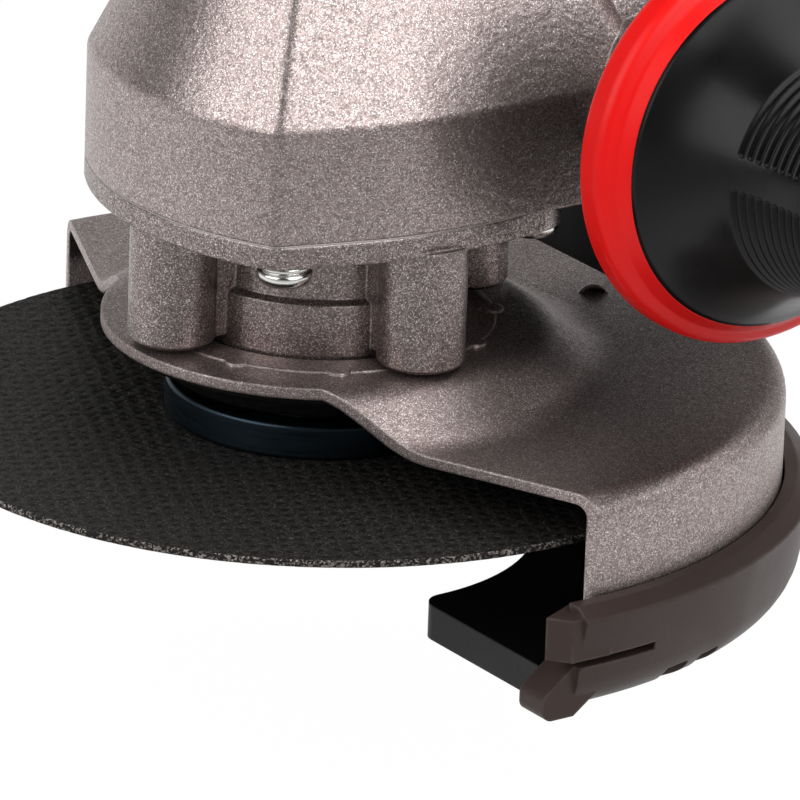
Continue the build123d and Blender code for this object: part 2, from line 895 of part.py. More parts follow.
with BuildPart() as gear_housing:
    extrude(head_outline(parting_z, head_tail), amount=crease_z - parting_z)
    loft([head_outline(crease_z, head_tail), head_outline(roof_z, head_tail, roof_scale)])
    fillet(gear_housing.faces().sort_by(Axis.Z)[-1].edges(), radius=roof_round)
    fillet(gear_housing.edges().group_by(Axis.Z)[2], radius=crease_round)
    with BuildSketch(MOTOR) as barrel:
        with BuildLine():
            Polyline(
                (0, hood_front_x),
                (hood_front_r, hood_front_x),
                (hood_rear_r, tail_x + cut_over),
                (0, tail_x + cut_over),
                close=True,
            )
        make_face()
    revolve(barrel.sketch, axis=axis_of(MOTOR))
    extrude(casing_section(tail_x, tail_half, tail_half, axis_z, tail_round), amount=tail_flange_t)
    with BuildSketch(Plane.XZ.offset(-socket_face_y)) as sockets:
        with Locations((handle_x, handle_z)):
            Circle(socket_boss_r)
    extrude(sockets.sketch, amount=2 * socket_face_y)
    below = 2 * tail_half
    block(-below, below, -below, below, parting_z - below, parting_z, mode=Mode.SUBTRACT)
    turn(
        [
            (0, parting_z - cut_over),
            (chamber_r, parting_z - cut_over),
            (chamber_r, crease_z),
            (chamber_r - chamber_taper, chamber_top_z),
            (0, chamber_top_z),
        ],
        mode=Mode.SUBTRACT,
    )
    ring(bush_r, 0, chamber_top_z - cut_over, bush_z + bush_h, mode=Mode.SUBTRACT)
    ring(front_bearing_r, 0, pinion_bay_x, front_bearing_x + front_bearing_w, MOTOR, Mode.SUBTRACT)
    ring(front_bearing_r - bearing_stop, 0, front_bearing_x, tail_end_x, MOTOR, Mode.SUBTRACT)
    ring(fan_r, 0, tail_end_x - fan_pocket, tail_end_x, MOTOR, Mode.SUBTRACT)
    pin_hole_r = lock_pin_r + lock_pin_clear
    lock_base_z = roof_z - lock_pocket_depth
    post(lock_x, 0, pin_hole_r, chamber_top_z - cut_over, roof_z, mode=Mode.SUBTRACT)
    post(lock_x, 0, lock_r + slide_gap, lock_base_z, roof_z + cut_over, mode=Mode.SUBTRACT)
    hole_top_z = parting_z + screw_grip + screw_tip_gap
    for x, y in screw_spots:
        post(x, y, screw_r, parting_z - cut_over, hole_top_z, mode=Mode.SUBTRACT)
    for y, z in bolt_spots:
        with BuildSketch(Plane.YZ.offset(tail_x - tail_bolt_len)) as bolt_hole:
            with Locations((y, z)):
                Circle(tail_bolt_r + bolt_clear)
        extrude(bolt_hole.sketch, amount=2 * tail_bolt_len, mode=Mode.SUBTRACT)
        with BuildSketch(Plane.YZ.offset(tail_x)) as bolt_face:
            with Locations((y, z)):
                Circle(tail_bolt_head_r + bolt_head_clear)
        extrude(bolt_face.sketch, amount=-tail_x, mode=Mode.SUBTRACT)
    for side in (-1, 1):
        with BuildSketch(Plane.XZ.offset(-side * socket_face_y)) as socket:
            with Locations((handle_x, handle_z)):
                Circle(socket_r)
        extrude(socket.sketch, amount=side * socket_depth, mode=Mode.SUBTRACT)
keep(gear_housing, "gear_housing")


def motor_circle(x, radius):
    """A circle about the motor's axis at a station along X."""
    with BuildSketch(Plane.YZ.offset(x)) as face:
        with Locations((0, axis_z)):
            Circle(radius)
    return face.sketch


# Bolts from the gear head's rear flange into the motor casing
with BuildPart() as tail_bolts:
    for y, z in bolt_spots:
        with BuildSketch(Plane.YZ.offset(tail_x)) as shank:
            with Locations((y, z)):
                Circle(tail_bolt_r)
        extrude(shank.sketch, amount=tail_bolt_len)
        with BuildSketch(Plane.YZ.offset(tail_x)) as bolt_head:
            with Locations((y, z)):
                Circle(tail_bolt_head_r)
        extrude(bolt_head.sketch, amount=-tail_bolt_head_h)
keep(tail_bolts, "tail_bolts")

# Spindle lock: a cup-shaped button with its pin, and the spring inside it
lock_top_z = roof_z + lock_rise
lock_rim_z = lock_base_z + lock_travel + slide_gap
lock_tip_z = gear_top_z + lock_gap
with BuildPart() as lock_button:
    ring(lock_r, 0, lock_rim_z, lock_top_z, LOCK)
    fillet(lock_button.faces().sort_by(Axis.Z)[-1].edges(), lock_round)
    ring(lock_r - lock_wall, 0, lock_rim_z, lock_top_z - 2 * lock_wall, LOCK, Mode.SUBTRACT)
    ring(lock_pin_r, 0, lock_tip_z, lock_top_z - lock_wall, LOCK)
keep(lock_button, "lock_button")
lock_spring_len = lock_top_z - 2 * lock_wall - lock_base_z
coil_spring("lock_spring", Vector(lock_x, 0, lock_base_z), lock_spring_r, lock_spring_len)

# Motor shaft, from the nut's thread at the pinion to the rear bearing
shaft_start_x = pinion_end_x - pinion_nut_t - shaft_proud
rear_bearing_end_x = rear_bearing_x + rear_bearing_w
with BuildPart() as motor_shaft:
    turn(
        [
            (0, shaft_start_x),
            (pinion_bore_r, shaft_start_x),
            (pinion_bore_r, front_bearing_x),
            (shaft_r, front_bearing_x),
            (shaft_r, rear_bearing_x),
            (shaft_rear_r, rear_bearing_x),
            (shaft_rear_r, rear_bearing_end_x + shaft_tail),
            (0, rear_bearing_end_x + shaft_tail),
        ],
        MOTOR,
    )
keep(motor_shaft, "motor_shaft")

sealed_bearing(
    "front_bearing", MOTOR, shaft_r, front_bearing_r, front_bearing_x, front_bearing_w
)
sealed_bearing(
    "rear_bearing", MOTOR, shaft_rear_r, rear_bearing_r, rear_bearing_x, rear_bearing_w
)

# Fan: back disc, hub and slightly leaning radial blades
with BuildPart() as fan:
    ring(fan_r - fan_tip_gap, shaft_r, fan_x + fan_w - fan_disc_t, fan_x + fan_w, MOTOR)
    ring(fan_hub_r, shaft_r, fan_x, fan_x + fan_w, MOTOR)
    with BuildSketch(Plane.YZ.offset(fan_x + fan_tip_gap)) as blades:
        with Locations((0, axis_z)):
            with PolarLocations(0, fan_blades):
                blade_r = (fan_r + fan_hub_r) / 2 - fan_blade_in
                with Locations(Location((blade_r, fan_blade_set, 0), fan_blade_lean)):
                    Rectangle(fan_r - fan_hub_r, fan_blade_t)
    extrude(blades.sketch, amount=fan_w - fan_disc_t)
keep(fan, "fan")

# Rotor core with slots for its flat magnets, and the magnets
stator_end_x = stator_x + stator_len
rotor_r = stator_bore_r - rotor_gap
magnet_seat_r = rotor_r - magnet_cover - magnet_t / 2


def magnet_faces(grow):
    """The magnets' end faces, grown for the slots that hold them."""
    with BuildSketch(Plane.YZ.offset(stator_x)) as faces:
        with Locations((0, axis_z)):
            with PolarLocations(magnet_seat_r, magnet_count):
                Rectangle(magnet_t + grow, magnet_w + grow)
    return faces.sketch


with BuildPart() as rotor_core:
    ring(rotor_r, shaft_r, stator_x, stator_end_x, MOTOR)
    extrude(magnet_faces(2 * lay_gap), amount=stator_len, mode=Mode.SUBTRACT)
keep(rotor_core, "rotor_core")

with BuildPart() as rotor_magnets:
    extrude(magnet_faces(0), amount=stator_len)
keep(rotor_magnets, "rotor_magnets")

# Stator: yoke with shoed teeth, and one wound coil on each tooth
tooth_start_r = stator_bore_r + tooth_shoe
tooth_end_r = stator_r - stator_yoke
with BuildPart() as stator_core:
    with BuildSketch(Plane.YZ.offset(stator_x)) as lamination:
        with Locations((0, axis_z)):
            Circle(stator_r)
            Circle(stator_r - stator_yoke, mode=Mode.SUBTRACT)
            with PolarLocations((stator_bore_r + stator_r - tooth_sink) / 2, stator_teeth):
                Rectangle(stator_r - tooth_sink - stator_bore_r, tooth_w)
            with PolarLocations(stator_bore_r + tooth_shoe / 2 + shoe_set, stator_teeth):
                Rectangle(tooth_shoe, tooth_w + shoe_over)
            Circle(stator_bore_r, mode=Mode.SUBTRACT)
    extrude(lamination.sketch, amount=stator_len)
keep(stator_core, "stator_core")

coil_start_r = tooth_start_r + coil_end_gap
coil_len = tooth_end_r - coil_end_gap - coil_start_r
with BuildPart() as stator_coils:
    for i in range(stator_teeth):
        around = Plane(MOTOR.origin, x_dir=(1, 0, 0), z_dir=(0, 0, 1)).rotated(
            (i * 360 / stator_teeth, 0, 0)
        )
        with BuildSketch(around.offset(coil_start_r)) as winding:
            with Locations((stator_x + stator_len / 2, 0)):
                RectangleRounded(
                    stator_len + 2 * coil_over, tooth_w + 2 * coil_t, coil_t - slide_gap
                )
                Rectangle(
                    stator_len + 2 * slide_gap, tooth_w + 2 * slide_gap, mode=Mode.SUBTRACT
                )
        extrude(winding.sketch, amount=coil_len)
keep(stator_coils, "stator_coils")

# Guard: one pressed sheet, turned, then cut back to the tongue at the front, with a small lanced hood
with BuildPart() as guard_shell:
    with BuildSketch(SPINDLE) as guard_section:
        with BuildLine():
            FilletPolyline(
                (guard_hole_r, platform_z),
                (dome_top_r, platform_z),
                (dome_base_r, guard_flat_z),
                (guard_r, guard_flat_z),
                (guard_r, guard_skirt_z),
                radius=(dome_round, dome_round, guard_corner),
            )
            offset(amount=guard_t, side=Side.RIGHT)
        make_face()
    revolve(guard_section.sketch, axis=Axis.Z)
    far = 2 * guard_r
    edge_slope = (guard_end_x - guard_edge_x) / (guard_end_y - guard_edge_y)
    inner_y = tongue_r * edge_start_share
    inner_x = guard_edge_x + (inner_y - guard_edge_y) * edge_slope
    outer_x = guard_edge_x + (far - guard_edge_y) * edge_slope
    with BuildSketch(Plane.XY.offset(guard_skirt_z)) as guard_plan:
        Circle(tongue_r)
        with BuildLine():
            Polyline(
                (inner_x, inner_y),
                (outer_x, far),
                (far, far),
                (far, -far),
                (outer_x, -far),
                (inner_x, -inner_y),
                close=True,
            )
        make_face()
    extrude(guard_plan.sketch, amount=platform_z - guard_skirt_z, mode=Mode.INTERSECT)
    ring(bead_r, bead_r - bead_w, platform_z - guard_t / 2, platform_z + bump_h / 2)
    for angle in bump_angles:
        with BuildSketch(Plane.XY.offset(platform_z - guard_t / 2)) as bumps:
            with PolarLocations(bead_r - bead_w / 2, boss_count, start_angle=angle):
                Circle(bump_r)
        extrude(bumps.sketch, amount=guard_t / 2 + bump_h)
    with BuildSketch(LOUVER) as hood:
        with BuildLine():
            outside = TangentArc((0, louver_h), (louver_r, 0), tangent=(1, 0))
            louver_in_r = louver_r - louver_t
            inside = TangentArc((0, louver_h - louver_t), (louver_in_r, 0), tangent=(1, 0))
            Line(outside @ 0, inside @ 0)
            Polyline(outside @ 1, (louver_r, -guard_t / 2), (louver_in_r, -guard_t / 2), inside @ 1)
        make_face()
    revolve(hood.sketch, axis=axis_of(LOUVER), revolution_arc=180)
keep(guard_shell, "guard_shell")

# Collar ring welded under the platform, which turns on the cover's neck
ring_top_z = platform_z - guard_t
with BuildPart() as guard_ring:
    ring(collar_ring_r, guard_hole_r, ring_top_z - collar_ring_t, ring_top_z)
keep(guard_ring, "guard_ring")

# Cutting cover: half a ring with a wall round the skirt, a plate under the disc and end blocks
clip_in_r = guard_r + clip_gap
plate_low_z = clip_plate_z - clip_plate_t
shelf_z = guard_skirt_z - clip_gap
rim_in_r = clip_foot_r - clip_round - clip_rim_flat
slit_top_z = slit_z + slit_h / 2
slit_low_z = slit_z - slit_h / 2


def clip_plan(level, inset=0.0):
    """The half ring's plan at a level, drawn in by an inset."""
    with BuildSketch(Plane.XY.offset(level)) as plan:
        with Locations((clip_front_x, 0)):
            Rectangle(2 * guard_r, 3 * guard_r, align=(Align.MIN, Align.CENTER))
        Circle(clip_inner_r, mode=Mode.SUBTRACT)
        inner_corners = plan.vertices().group_by(Axis.X)[0].sort_by(Axis.Y)[1:-1]
        fillet(inner_corners, radius=clip_corner)
        if inset:
            offset(amount=-inset, mode=Mode.REPLACE)
    return plan.sketch


with BuildPart() as cutting_cover:
    with BuildSketch(SPINDLE) as clip_section:
        with BuildLine():
            wall = FilletPolyline(
                (rim_in_r, plate_low_z),
                (rim_in_r, clip_bottom_z),
                (clip_foot_r, clip_bottom_z),
                (clip_r, clip_edge_z),
                (clip_crown_r, clip_top_z),
                (clip_in_r, clip_top_z),
                radius=(clip_edge_round, clip_round, clip_edge_round, clip_edge_round),
            )
            Polyline(
                wall @ 1,
                (clip_in_r, shelf_z),
                (clip_in_r - clip_shelf, shelf_z),
                (clip_in_r - clip_shelf, clip_plate_z),
                (clip_inner_r, clip_plate_z),
                (clip_inner_r, plate_low_z),
                wall @ 0,
            )
        make_face()
    revolve(clip_section.sketch, axis=Axis.Z)
    extrude(clip_plan(floor_z), amount=clip_top_z - floor_z, mode=Mode.INTERSECT)
    with BuildSketch(Plane.XY.offset(floor_z)) as lip:
        add(clip_plan(floor_z))
        add(clip_plan(floor_z, clip_lip), mode=Mode.SUBTRACT)
        Circle(rim_in_r + clip_lip, mode=Mode.INTERSECT)
    extrude(lip.sketch, amount=plate_low_z - floor_z)
    for side in (-1, 1):
        with BuildSketch(Plane.XZ.offset(-side * tab_y)) as slit:
            with Locations(((slit_end_x + 2 * claw_x) / 2, slit_z)):
                Rectangle(slit_end_x - 2 * claw_x, slit_h)
        extrude(slit.sketch, amount=-side * 2 * clip_round, mode=Mode.SUBTRACT)
        with BuildSketch(Plane.XY.offset(slit_top_z)) as claw:
            with BuildLine():
                Polyline(
                    (claw_x, side * claw_tip_y),
                    (claw_corner_x, side * claw_y),
                    (-claw_end_x, side * claw_y),
                    (-claw_end_x, side * (clip_in_r + clip_gap)),
                    (claw_end_x, side * (clip_in_r + clip_gap)),
                    (claw_end_x, side * claw_root_y),
                    close=True,
                )
            make_face()
        extrude(claw.sketch, amount=claw_h)
        with BuildSketch(Plane.XZ.offset(-side * tab_y)) as tab:
            with BuildLine():
                Polyline(
                    (-claw_end_x, slit_low_z),
                    (clip_front_x, slit_low_z),
                    (tab_x, tab_nose_z),
                    (tab_x, clip_bottom_z),
                    (clip_front_x, clip_bottom_z),
                    (-claw_end_x, tab_nose_z),
                    close=True,
                )
            make_face()
            fillet(tab.vertices().group_by(Axis.X)[0], radius=tab_round)
        extrude(tab.sketch, amount=-side * tab_w)
        for angle in nick_angles:
            with BuildSketch(Plane.XY.offset(clip_bottom_z)) as nick:
                with PolarLocations(clip_foot_r - clip_rim_flat / 2, 1, start_angle=side * angle):
                    Circle(nick_r)
            extrude(nick.sketch, amount=nick_h, mode=Mode.SUBTRACT)
keep(cutting_cover, "cutting_cover")

# Side handle: stud, red collar with its core, and the rubber grip moulded over the core.
# The grip has two fields of grooves, parted by a plain web on either side
with BuildPart() as handle_stud:
    turn(
        [
            (0, -stud_in),
            (socket_r - running_gap, -stud_in),
            (socket_r - running_gap, slide_gap),
            (stud_hex_r, slide_gap),
            (stud_hex_r, stud_core),
            (0, stud_core),
        ],
        HANDLE,
    )
keep(handle_stud, "handle_stud")

with BuildPart() as handle_collar:
    with BuildSketch(HANDLE) as collar_section:
        with BuildLine():
            rim = FilletPolyline(
                (collar_neck_r, slide_gap),
                (collar_neck_r, collar_back),
                (collar_rim_r - collar_slope_r, collar_rim_d - collar_slope_d),
                (collar_rim_r, collar_rim_d),
                (collar_rim_r, collar_rim_d + collar_rim_w),
                (collar_groove_r, collar_rim_d + collar_rim_w + collar_slope_d),
                (bell_r, collar_front_d),
                radius=collar_rounds,
            )
            Polyline(
                rim @ 1,
                (core_r, collar_front_d),
                (core_r, core_len),
                (0, core_len),
                (0, stud_core),
                (stud_hex_r, stud_core),
                (stud_hex_r, slide_gap),
                rim @ 0,
            )
        make_face()
    revolve(collar_section.sketch, axis=axis_of(HANDLE))
keep(handle_collar, "handle_collar")

grip_skin = Spline(
    (bell_r, collar_front_d),
    (grip_neck_r + bell_swell, (collar_front_d + grip_neck_d) / 2),
    (grip_neck_r, grip_neck_d),
    (grip_belly_r, grip_belly_d),
    (grip_tail_r, grip_tail_d),
    (grip_end_r, grip_end_d),
)


def grip_section(turned, grooved):
    """Half the grip's section at an angle round the handle, plain or with its row of grooves."""
    with BuildSketch(HANDLE.rotated((0, -turned, 0))) as section:
        with BuildLine():
            add(grip_skin)
            tip = Spline(grip_skin @ 1, (0, handle_len), tangents=(grip_skin % 1, (-1, 0)))
            Polyline(
                tip @ 1,
                (0, core_len),
                (core_r, core_len),
                (core_r, collar_front_d),
                grip_skin @ 0,
            )
        make_face()
        if grooved:
            mouth_half = groove_w / 2 * (groove_depth + groove_lift) / groove_depth
            notch = [(-mouth_half, -groove_lift), (mouth_half, -groove_lift), (0, groove_depth)]
            spots = [(groove_start + i * groove_pitch) / grip_skin.length for i in range(groove_count)]
            places = [Location(grip_skin @ t, grip_skin.tangent_angle_at(t)) for t in spots]
            with Locations(*places):
                Polygon(*notch, align=None, mode=Mode.SUBTRACT)
    return section.sketch


with BuildPart() as handle_grip:
    for web in (90 - handle_turn, 270 - handle_turn):
        plain = grip_section(web - web_half, False)
        revolve(plain, axis=axis_of(HANDLE), revolution_arc=2 * web_half)
        grooved = grip_section(web + web_half, True)
        revolve(grooved, axis=axis_of(HANDLE), revolution_arc=180 - 2 * web_half)
keep(handle_grip, "handle_grip")

# Black baffle behind the gear head: its lower half reaches forward under the casting
casing_x = tail_end_x + baffle_t
fan_pocket_x = tail_end_x - fan_pocket
with BuildPart() as fan_baffle:
    extrude(casing_section(tail_x, tail_half, tail_half, axis_z, tail_round), amount=tail_flange_t)
    block(
        tail_x,
        tail_end_x,
        -tail_half,
        tail_half,
        parting_z - tail_half,
        parting_z - lay_gap,
        mode=Mode.INTERSECT,
    )
    extrude(casing_section(tail_end_x, tail_half, tail_half, axis_z, tail_round), amount=baffle_t)
    extrude(motor_circle(fan_pocket_x, fan_r), amount=fan_pocket, mode=Mode.SUBTRACT)
    extrude(motor_circle(tail_end_x, fan_eye_r), amount=baffle_t, mode=Mode.SUBTRACT)
    for y, z in bolt_spots:
        with BuildSketch(Plane.YZ.offset(tail_x)) as bolt_hole:
            with Locations((y, z)):
                Circle(tail_bolt_r + bolt_clear)
        extrude(bolt_hole.sketch, amount=casing_x - tail_x, mode=Mode.SUBTRACT)
keep(fan_baffle, "fan_baffle")

# Motor casing: straight barrel, grip and dock, joined by a shoulder and a flare
dock_mid_z = (dock_top_z + dock_bottom_z) / 2
dock_half_h = (dock_top_z - dock_bottom_z) / 2
barrel_size = (tail_half, tail_half, axis_z, barrel_round)
grip_size = (grip_half, grip_half_h, axis_z, grip_round)
pad_seat_size = (grip_half - pad_depth, grip_half_h - pad_depth, axis_z, grip_round - pad_depth)
dock_size = (dock_half, dock_half_h, dock_mid_z, dock_round)


def blend(start_x, end_x, first, last):
    """A smooth change from one section to the next, level at both ends."""
    sections = []
    for i in range(blend_steps + 1):
        t = i / blend_steps
        ease = t * t * (3 - 2 * t)
        size = [a + (b - a) * ease for a, b in zip(first, last)]
        sections.append(casing_section(start_x + (end_x - start_x) * t, *size))
    loft(sections)


bulkhead_end_x = bulkhead_x + bulkhead_t
rod_z = axis_z + rod_lift
barrel_top_z = axis_z + tail_half
shell_screw_spots = [
    (bulkhead_x + bulkhead_t / 2, axis_z + bulkhead_screw_up),
    (bulkhead_x + bulkhead_t / 2, axis_z - bulkhead_screw_down),
    (dock_x + dock_screw_in, dock_bay_top_z + dock_screw_off),
    (dock_x + dock_screw_in, dock_bay_bottom_z - dock_screw_off),
]


def across(x, z, radius, start, end, mode=Mode.ADD):
    """A cylinder across the tool, along Y."""
    with BuildSketch(Plane.XZ.offset(-start)) as face:
        with Locations((x, z)):
            Circle(radius)
    extrude(face.sketch, amount=start - end, mode=mode)


pad_start_x = grip_x + pad_margin
pad_len = grip_end_x - grip_x - 2 * pad_margin
with BuildPart() as grip_cover:
    extrude(casing_section(pad_start_x, *grip_size), amount=pad_len)
    extrude(casing_section(pad_start_x, *pad_seat_size), amount=pad_len, mode=Mode.SUBTRACT)
    block(
        grip_x,
        grip_end_x,
        -dock_half,
        dock_half,
        dock_bottom_z,
        axis_z + pad_top,
        mode=Mode.INTERSECT,
    )

with BuildPart() as casing:
    extrude(casing_section(casing_x, *barrel_size), amount=barrel_end_x - casing_x)
    blend(barrel_end_x, grip_x, barrel_size, grip_size)
    extrude(casing_section(grip_x, *grip_size), amount=grip_end_x - grip_x)
    blend(grip_end_x, dock_x, grip_size, dock_size)
    extrude(casing_section(dock_x, *dock_size), amount=dock_rear_x - dock_x)
    fillet(casing.faces().sort_by(Axis.X)[-1].edges(), dock_edge)
    add(grip_cover.part, mode=Mode.SUBTRACT)
    rail_x = dock_rear_x + rail_neck_t
    block(dock_rear_x, rail_x, -rail_neck_half, rail_neck_half, rail_bottom_z, rail_top_z)
    block(rail_x, rail_x + rail_t, -rail_half, rail_half, rail_bottom_z, rail_top_z)
    extrude(motor_circle(casing_x, motor_bay_r), amount=bulkhead_x - casing_x, mode=Mode.SUBTRACT)
    extrude(
        motor_circle(rear_bearing_x, rear_bearing_r),
        amount=bulkhead_end_x - rear_bearing_x,
        mode=Mode.SUBTRACT,
    )
    extrude(motor_circle(bulkhead_x, shaft_r + shaft_clear), amount=bulkhead_t, mode=Mode.SUBTRACT)
    extrude(
        motor_circle(bulkhead_end_x, grip_bay_r),
        amount=dock_bay_x - bulkhead_end_x + cut_over,
        mode=Mode.SUBTRACT,
    )
    block(
        dock_bay_x,
        dock_rear_x - dock_wall,
        -dock_bay_half,
        dock_bay_half,
        dock_bay_bottom_z,
        dock_bay_top_z,
        mode=Mode.SUBTRACT,
    )
    block(
        bulkhead_x - cut_over,
        bulkhead_end_x + cut_over,
        -slider_stem_w / 2 - slide_gap,
        slider_stem_w / 2 + slide_gap,
        rod_z - slide_gap,
        rod_z + rod_h + slide_gap,
        mode=Mode.SUBTRACT,
    )
    block(
        slider_stem_x - slider_travel - slide_gap,
        slider_stem_x + slider_stem_len + slide_gap,
        -slider_stem_w / 2 - slide_gap,
        slider_stem_w / 2 + slide_gap,
        rod_z + rod_h,
        barrel_top_z + cut_over,
        mode=Mode.SUBTRACT,
    )
    terminal_mid_z = (rail_bottom_z + rail_top_z) / 2
    block(
        dock_rear_x - dock_wall - cut_over,
        rail_x + rail_t + cut_over,
        -terminal_half - lay_gap,
        terminal_half + lay_gap,
        terminal_mid_z - terminal_h / 2 - lay_gap,
        terminal_mid_z + terminal_h / 2 + lay_gap,
        mode=Mode.SUBTRACT,
    )
    block(
        dock_rear_x - hook_reach - slide_gap,
        dock_rear_x + cut_over,
        -hook_half - slide_gap,
        hook_half + slide_gap,
        dock_top_z - hook_h,
        dock_top_z + cut_over,
        mode=Mode.SUBTRACT,
    )
    for y, z in bolt_spots:
        with BuildSketch(Plane.YZ.offset(casing_x)) as bolt_hole:
            with Locations((y, z)):
                Circle(tail_bolt_r)
        extrude(bolt_hole.sketch, amount=tail_bolt_len, mode=Mode.SUBTRACT)
    for x, z in shell_screw_spots:
        across(x, z, shell_screw_r, -shell_screw_grip, shell_screw_head_y, Mode.SUBTRACT)
        across(x, z, shell_screw_head_r + slide_gap, shell_screw_head_y, 2 * dock_half, Mode.SUBTRACT)
    for start_x, count, mid_z in (
        (outlet_x, outlet_count, axis_z),
        (inlet_x, inlet_count, dock_mid_z),
    ):
        with BuildSketch(Plane.XZ.offset(-2 * dock_half)) as vents:
            for i in range(count):
                with Locations((start_x + i * vent_pitch, mid_z)):
                    SlotOverall(vent_len, vent_w, rotation=90)
        extrude(vents.sketch, amount=4 * dock_half, mode=Mode.SUBTRACT)

for side, cut in (("left", Keep.TOP), ("right", Keep.BOTTOM)):
    with BuildPart() as shell:
        add(casing.part)
        split(bisect_by=Plane.XZ, keep=cut)
    keep(shell, f"{side}_shell")
    with BuildPart() as pad:
        add(grip_cover.part)
        split(bisect_by=Plane.XZ, keep=cut)
    keep(pad, f"{side}_grip_pad")

with BuildPart() as shell_screws:
    for x, z in shell_screw_spots:
        across(x, z, shell_screw_r, screw_tip_gap - shell_screw_grip, shell_screw_head_y)
        across(x, z, shell_screw_head_r, shell_screw_head_y, shell_screw_head_y + shell_screw_head_h)
keep(shell_screws, "shell_screws")

# Thumb slider with its stem, the rod behind it, and the switch in the grip
with BuildPart() as switch_slider:
    with BuildSketch(Plane.XY.offset(barrel_top_z + slide_gap)) as thumb:
        with Locations((slider_x + slider_len / 2, 0)):
            RectangleRounded(slider_len, slider_w, slider_round)
    extrude(thumb.sketch, amount=slider_h, taper=slider_taper)
    fillet(switch_slider.faces().sort_by(Axis.Z)[-1].edges(), slider_edge)
    with BuildSketch(Plane.XZ.offset(-slider_w)) as thumb_grooves:
        for i in range(slider_groove_count):
            groove_x = slider_x + slider_groove_in + i * slider_groove_pitch
            with Locations((groove_x, barrel_top_z + slide_gap + slider_h)):
                Circle(slider_groove_r)
    extrude(thumb_grooves.sketch, amount=2 * slider_w, mode=Mode.SUBTRACT)
    block(
        slider_stem_x,
        slider_stem_x + slider_stem_len,
        -slider_stem_w / 2,
        slider_stem_w / 2,
        rod_z + rod_h,
        barrel_top_z + slide_gap + slider_stem_sink,
    )
keep(switch_slider, "switch_slider")

with BuildPart() as slider_rod:
    block(
        slider_stem_x, rod_end_x, -slider_stem_w / 2, slider_stem_w / 2, rod_z, rod_z + rod_h
    )
keep(slider_rod, "slider_rod")

switch_top_z = rod_z - slide_gap
with BuildPart() as power_switch:
    block(
        switch_x,
        switch_x + switch_len,
        -switch_half,
        switch_half,
        switch_top_z - switch_h,
        switch_top_z,
    )
    fillet(power_switch.edges().filter_by(Axis.X), switch_round)
keep(power_switch, "power_switch")

board_half = dock_bay_half - slide_gap
with BuildPart() as control_board:
    block(
        dock_bay_x + control_board_in,
        dock_bay_x + control_board_in + control_board_t,
        -board_half,
        board_half,
        dock_bay_bottom_z + slide_gap,
        dock_bay_top_z - slide_gap,
    )
keep(control_board, "control_board")

with BuildPart() as terminal_block:
    block(
        dock_rear_x - dock_wall - terminal_flange_t,
        rail_x + rail_t - terminal_set,
        -terminal_half,
        terminal_half,
        terminal_mid_z - terminal_h / 2,
        terminal_mid_z + terminal_h / 2,
    )
    block(
        dock_rear_x - dock_wall - terminal_flange_t,
        dock_rear_x - dock_wall,
        -terminal_half - terminal_flange,
        terminal_half + terminal_flange,
        terminal_mid_z - terminal_h / 2 - terminal_flange,
        terminal_mid_z + terminal_h / 2 + terminal_flange,
    )
keep(terminal_block, "terminal_block")

# Battery: front case with the slot for the rail, rear cover, cells, board, contacts and latch
battery_x = dock_rear_x + slide_gap
battery_end_x = battery_x + battery_depth
split_x = battery_x + battery_split
battery_mid_z = (battery_top_z + floor_z) / 2
battery_half_h = (battery_top_z - floor_z) / 2
slot_floor_x = rail_x + rail_t + slide_gap
bay_x = slot_floor_x + battery_wall
latch_mid_z = (dock_top_z + battery_top_z) / 2 + latch_lift
latch_x = battery_x - latch_pad_rise


def battery_section(x, inset=0.0):
    """The pack's outline across the tool."""
    return casing_section(
        x,
        battery_half - inset,
        battery_half_h - inset,
        battery_mid_z,
        battery_round - inset / 2,
    )


with BuildPart() as battery_case:
    extrude(battery_section(battery_x), amount=battery_split)
    fillet(battery_case.faces().sort_by(Axis.X)[0].edges(), battery_edge)
    extrude(battery_section(bay_x, battery_wall), amount=battery_depth, mode=Mode.SUBTRACT)
    neck_slot = rail_neck_half + slide_gap
    wide_slot = rail_half + slide_gap
    slot_top_z = rail_top_z + slide_gap
    block(
        battery_x - cut_over,
        rail_x,
        -neck_slot,
        neck_slot,
        floor_z - cut_over,
        slot_top_z,
        mode=Mode.SUBTRACT,
    )
    block(
        rail_x - slide_gap,
        slot_floor_x,
        -wide_slot,
        wide_slot,
        floor_z - cut_over,
        slot_top_z,
        mode=Mode.SUBTRACT,
    )
    block(
        battery_x - cut_over,
        battery_x + latch_depth + latch_travel + slide_gap,
        -latch_half - slide_gap,
        latch_half + slide_gap,
        latch_mid_z - latch_h / 2 - slide_gap,
        latch_mid_z + latch_h / 2 + slide_gap,
        mode=Mode.SUBTRACT,
    )
    block(
        battery_x - cut_over,
        battery_x + latch_depth + latch_travel + slide_gap,
        -hook_half - slide_gap,
        hook_half + slide_gap,
        dock_top_z - hook_h,
        latch_mid_z,
        mode=Mode.SUBTRACT,
    )
    for i in range(contact_count):
        y = (i - (contact_count - 1) / 2) * contact_pitch
        block(
            slot_floor_x - cut_over,
            slot_floor_x + contact_t,
            y - contact_w / 2,
            y + contact_w / 2,
            terminal_mid_z - terminal_h / 2,
            terminal_mid_z + terminal_h / 2,
            mode=Mode.SUBTRACT,
        )
keep(battery_case, "battery_case")

with BuildPart() as battery_contacts:
    for i in range(contact_count):
        y = (i - (contact_count - 1) / 2) * contact_pitch
        block(
            slot_floor_x,
            slot_floor_x + contact_t,
            y - contact_w / 2,
            y + contact_w / 2,
            terminal_mid_z - terminal_h / 2,
            terminal_mid_z + terminal_h / 2,
        )
keep(battery_contacts, "battery_contacts")

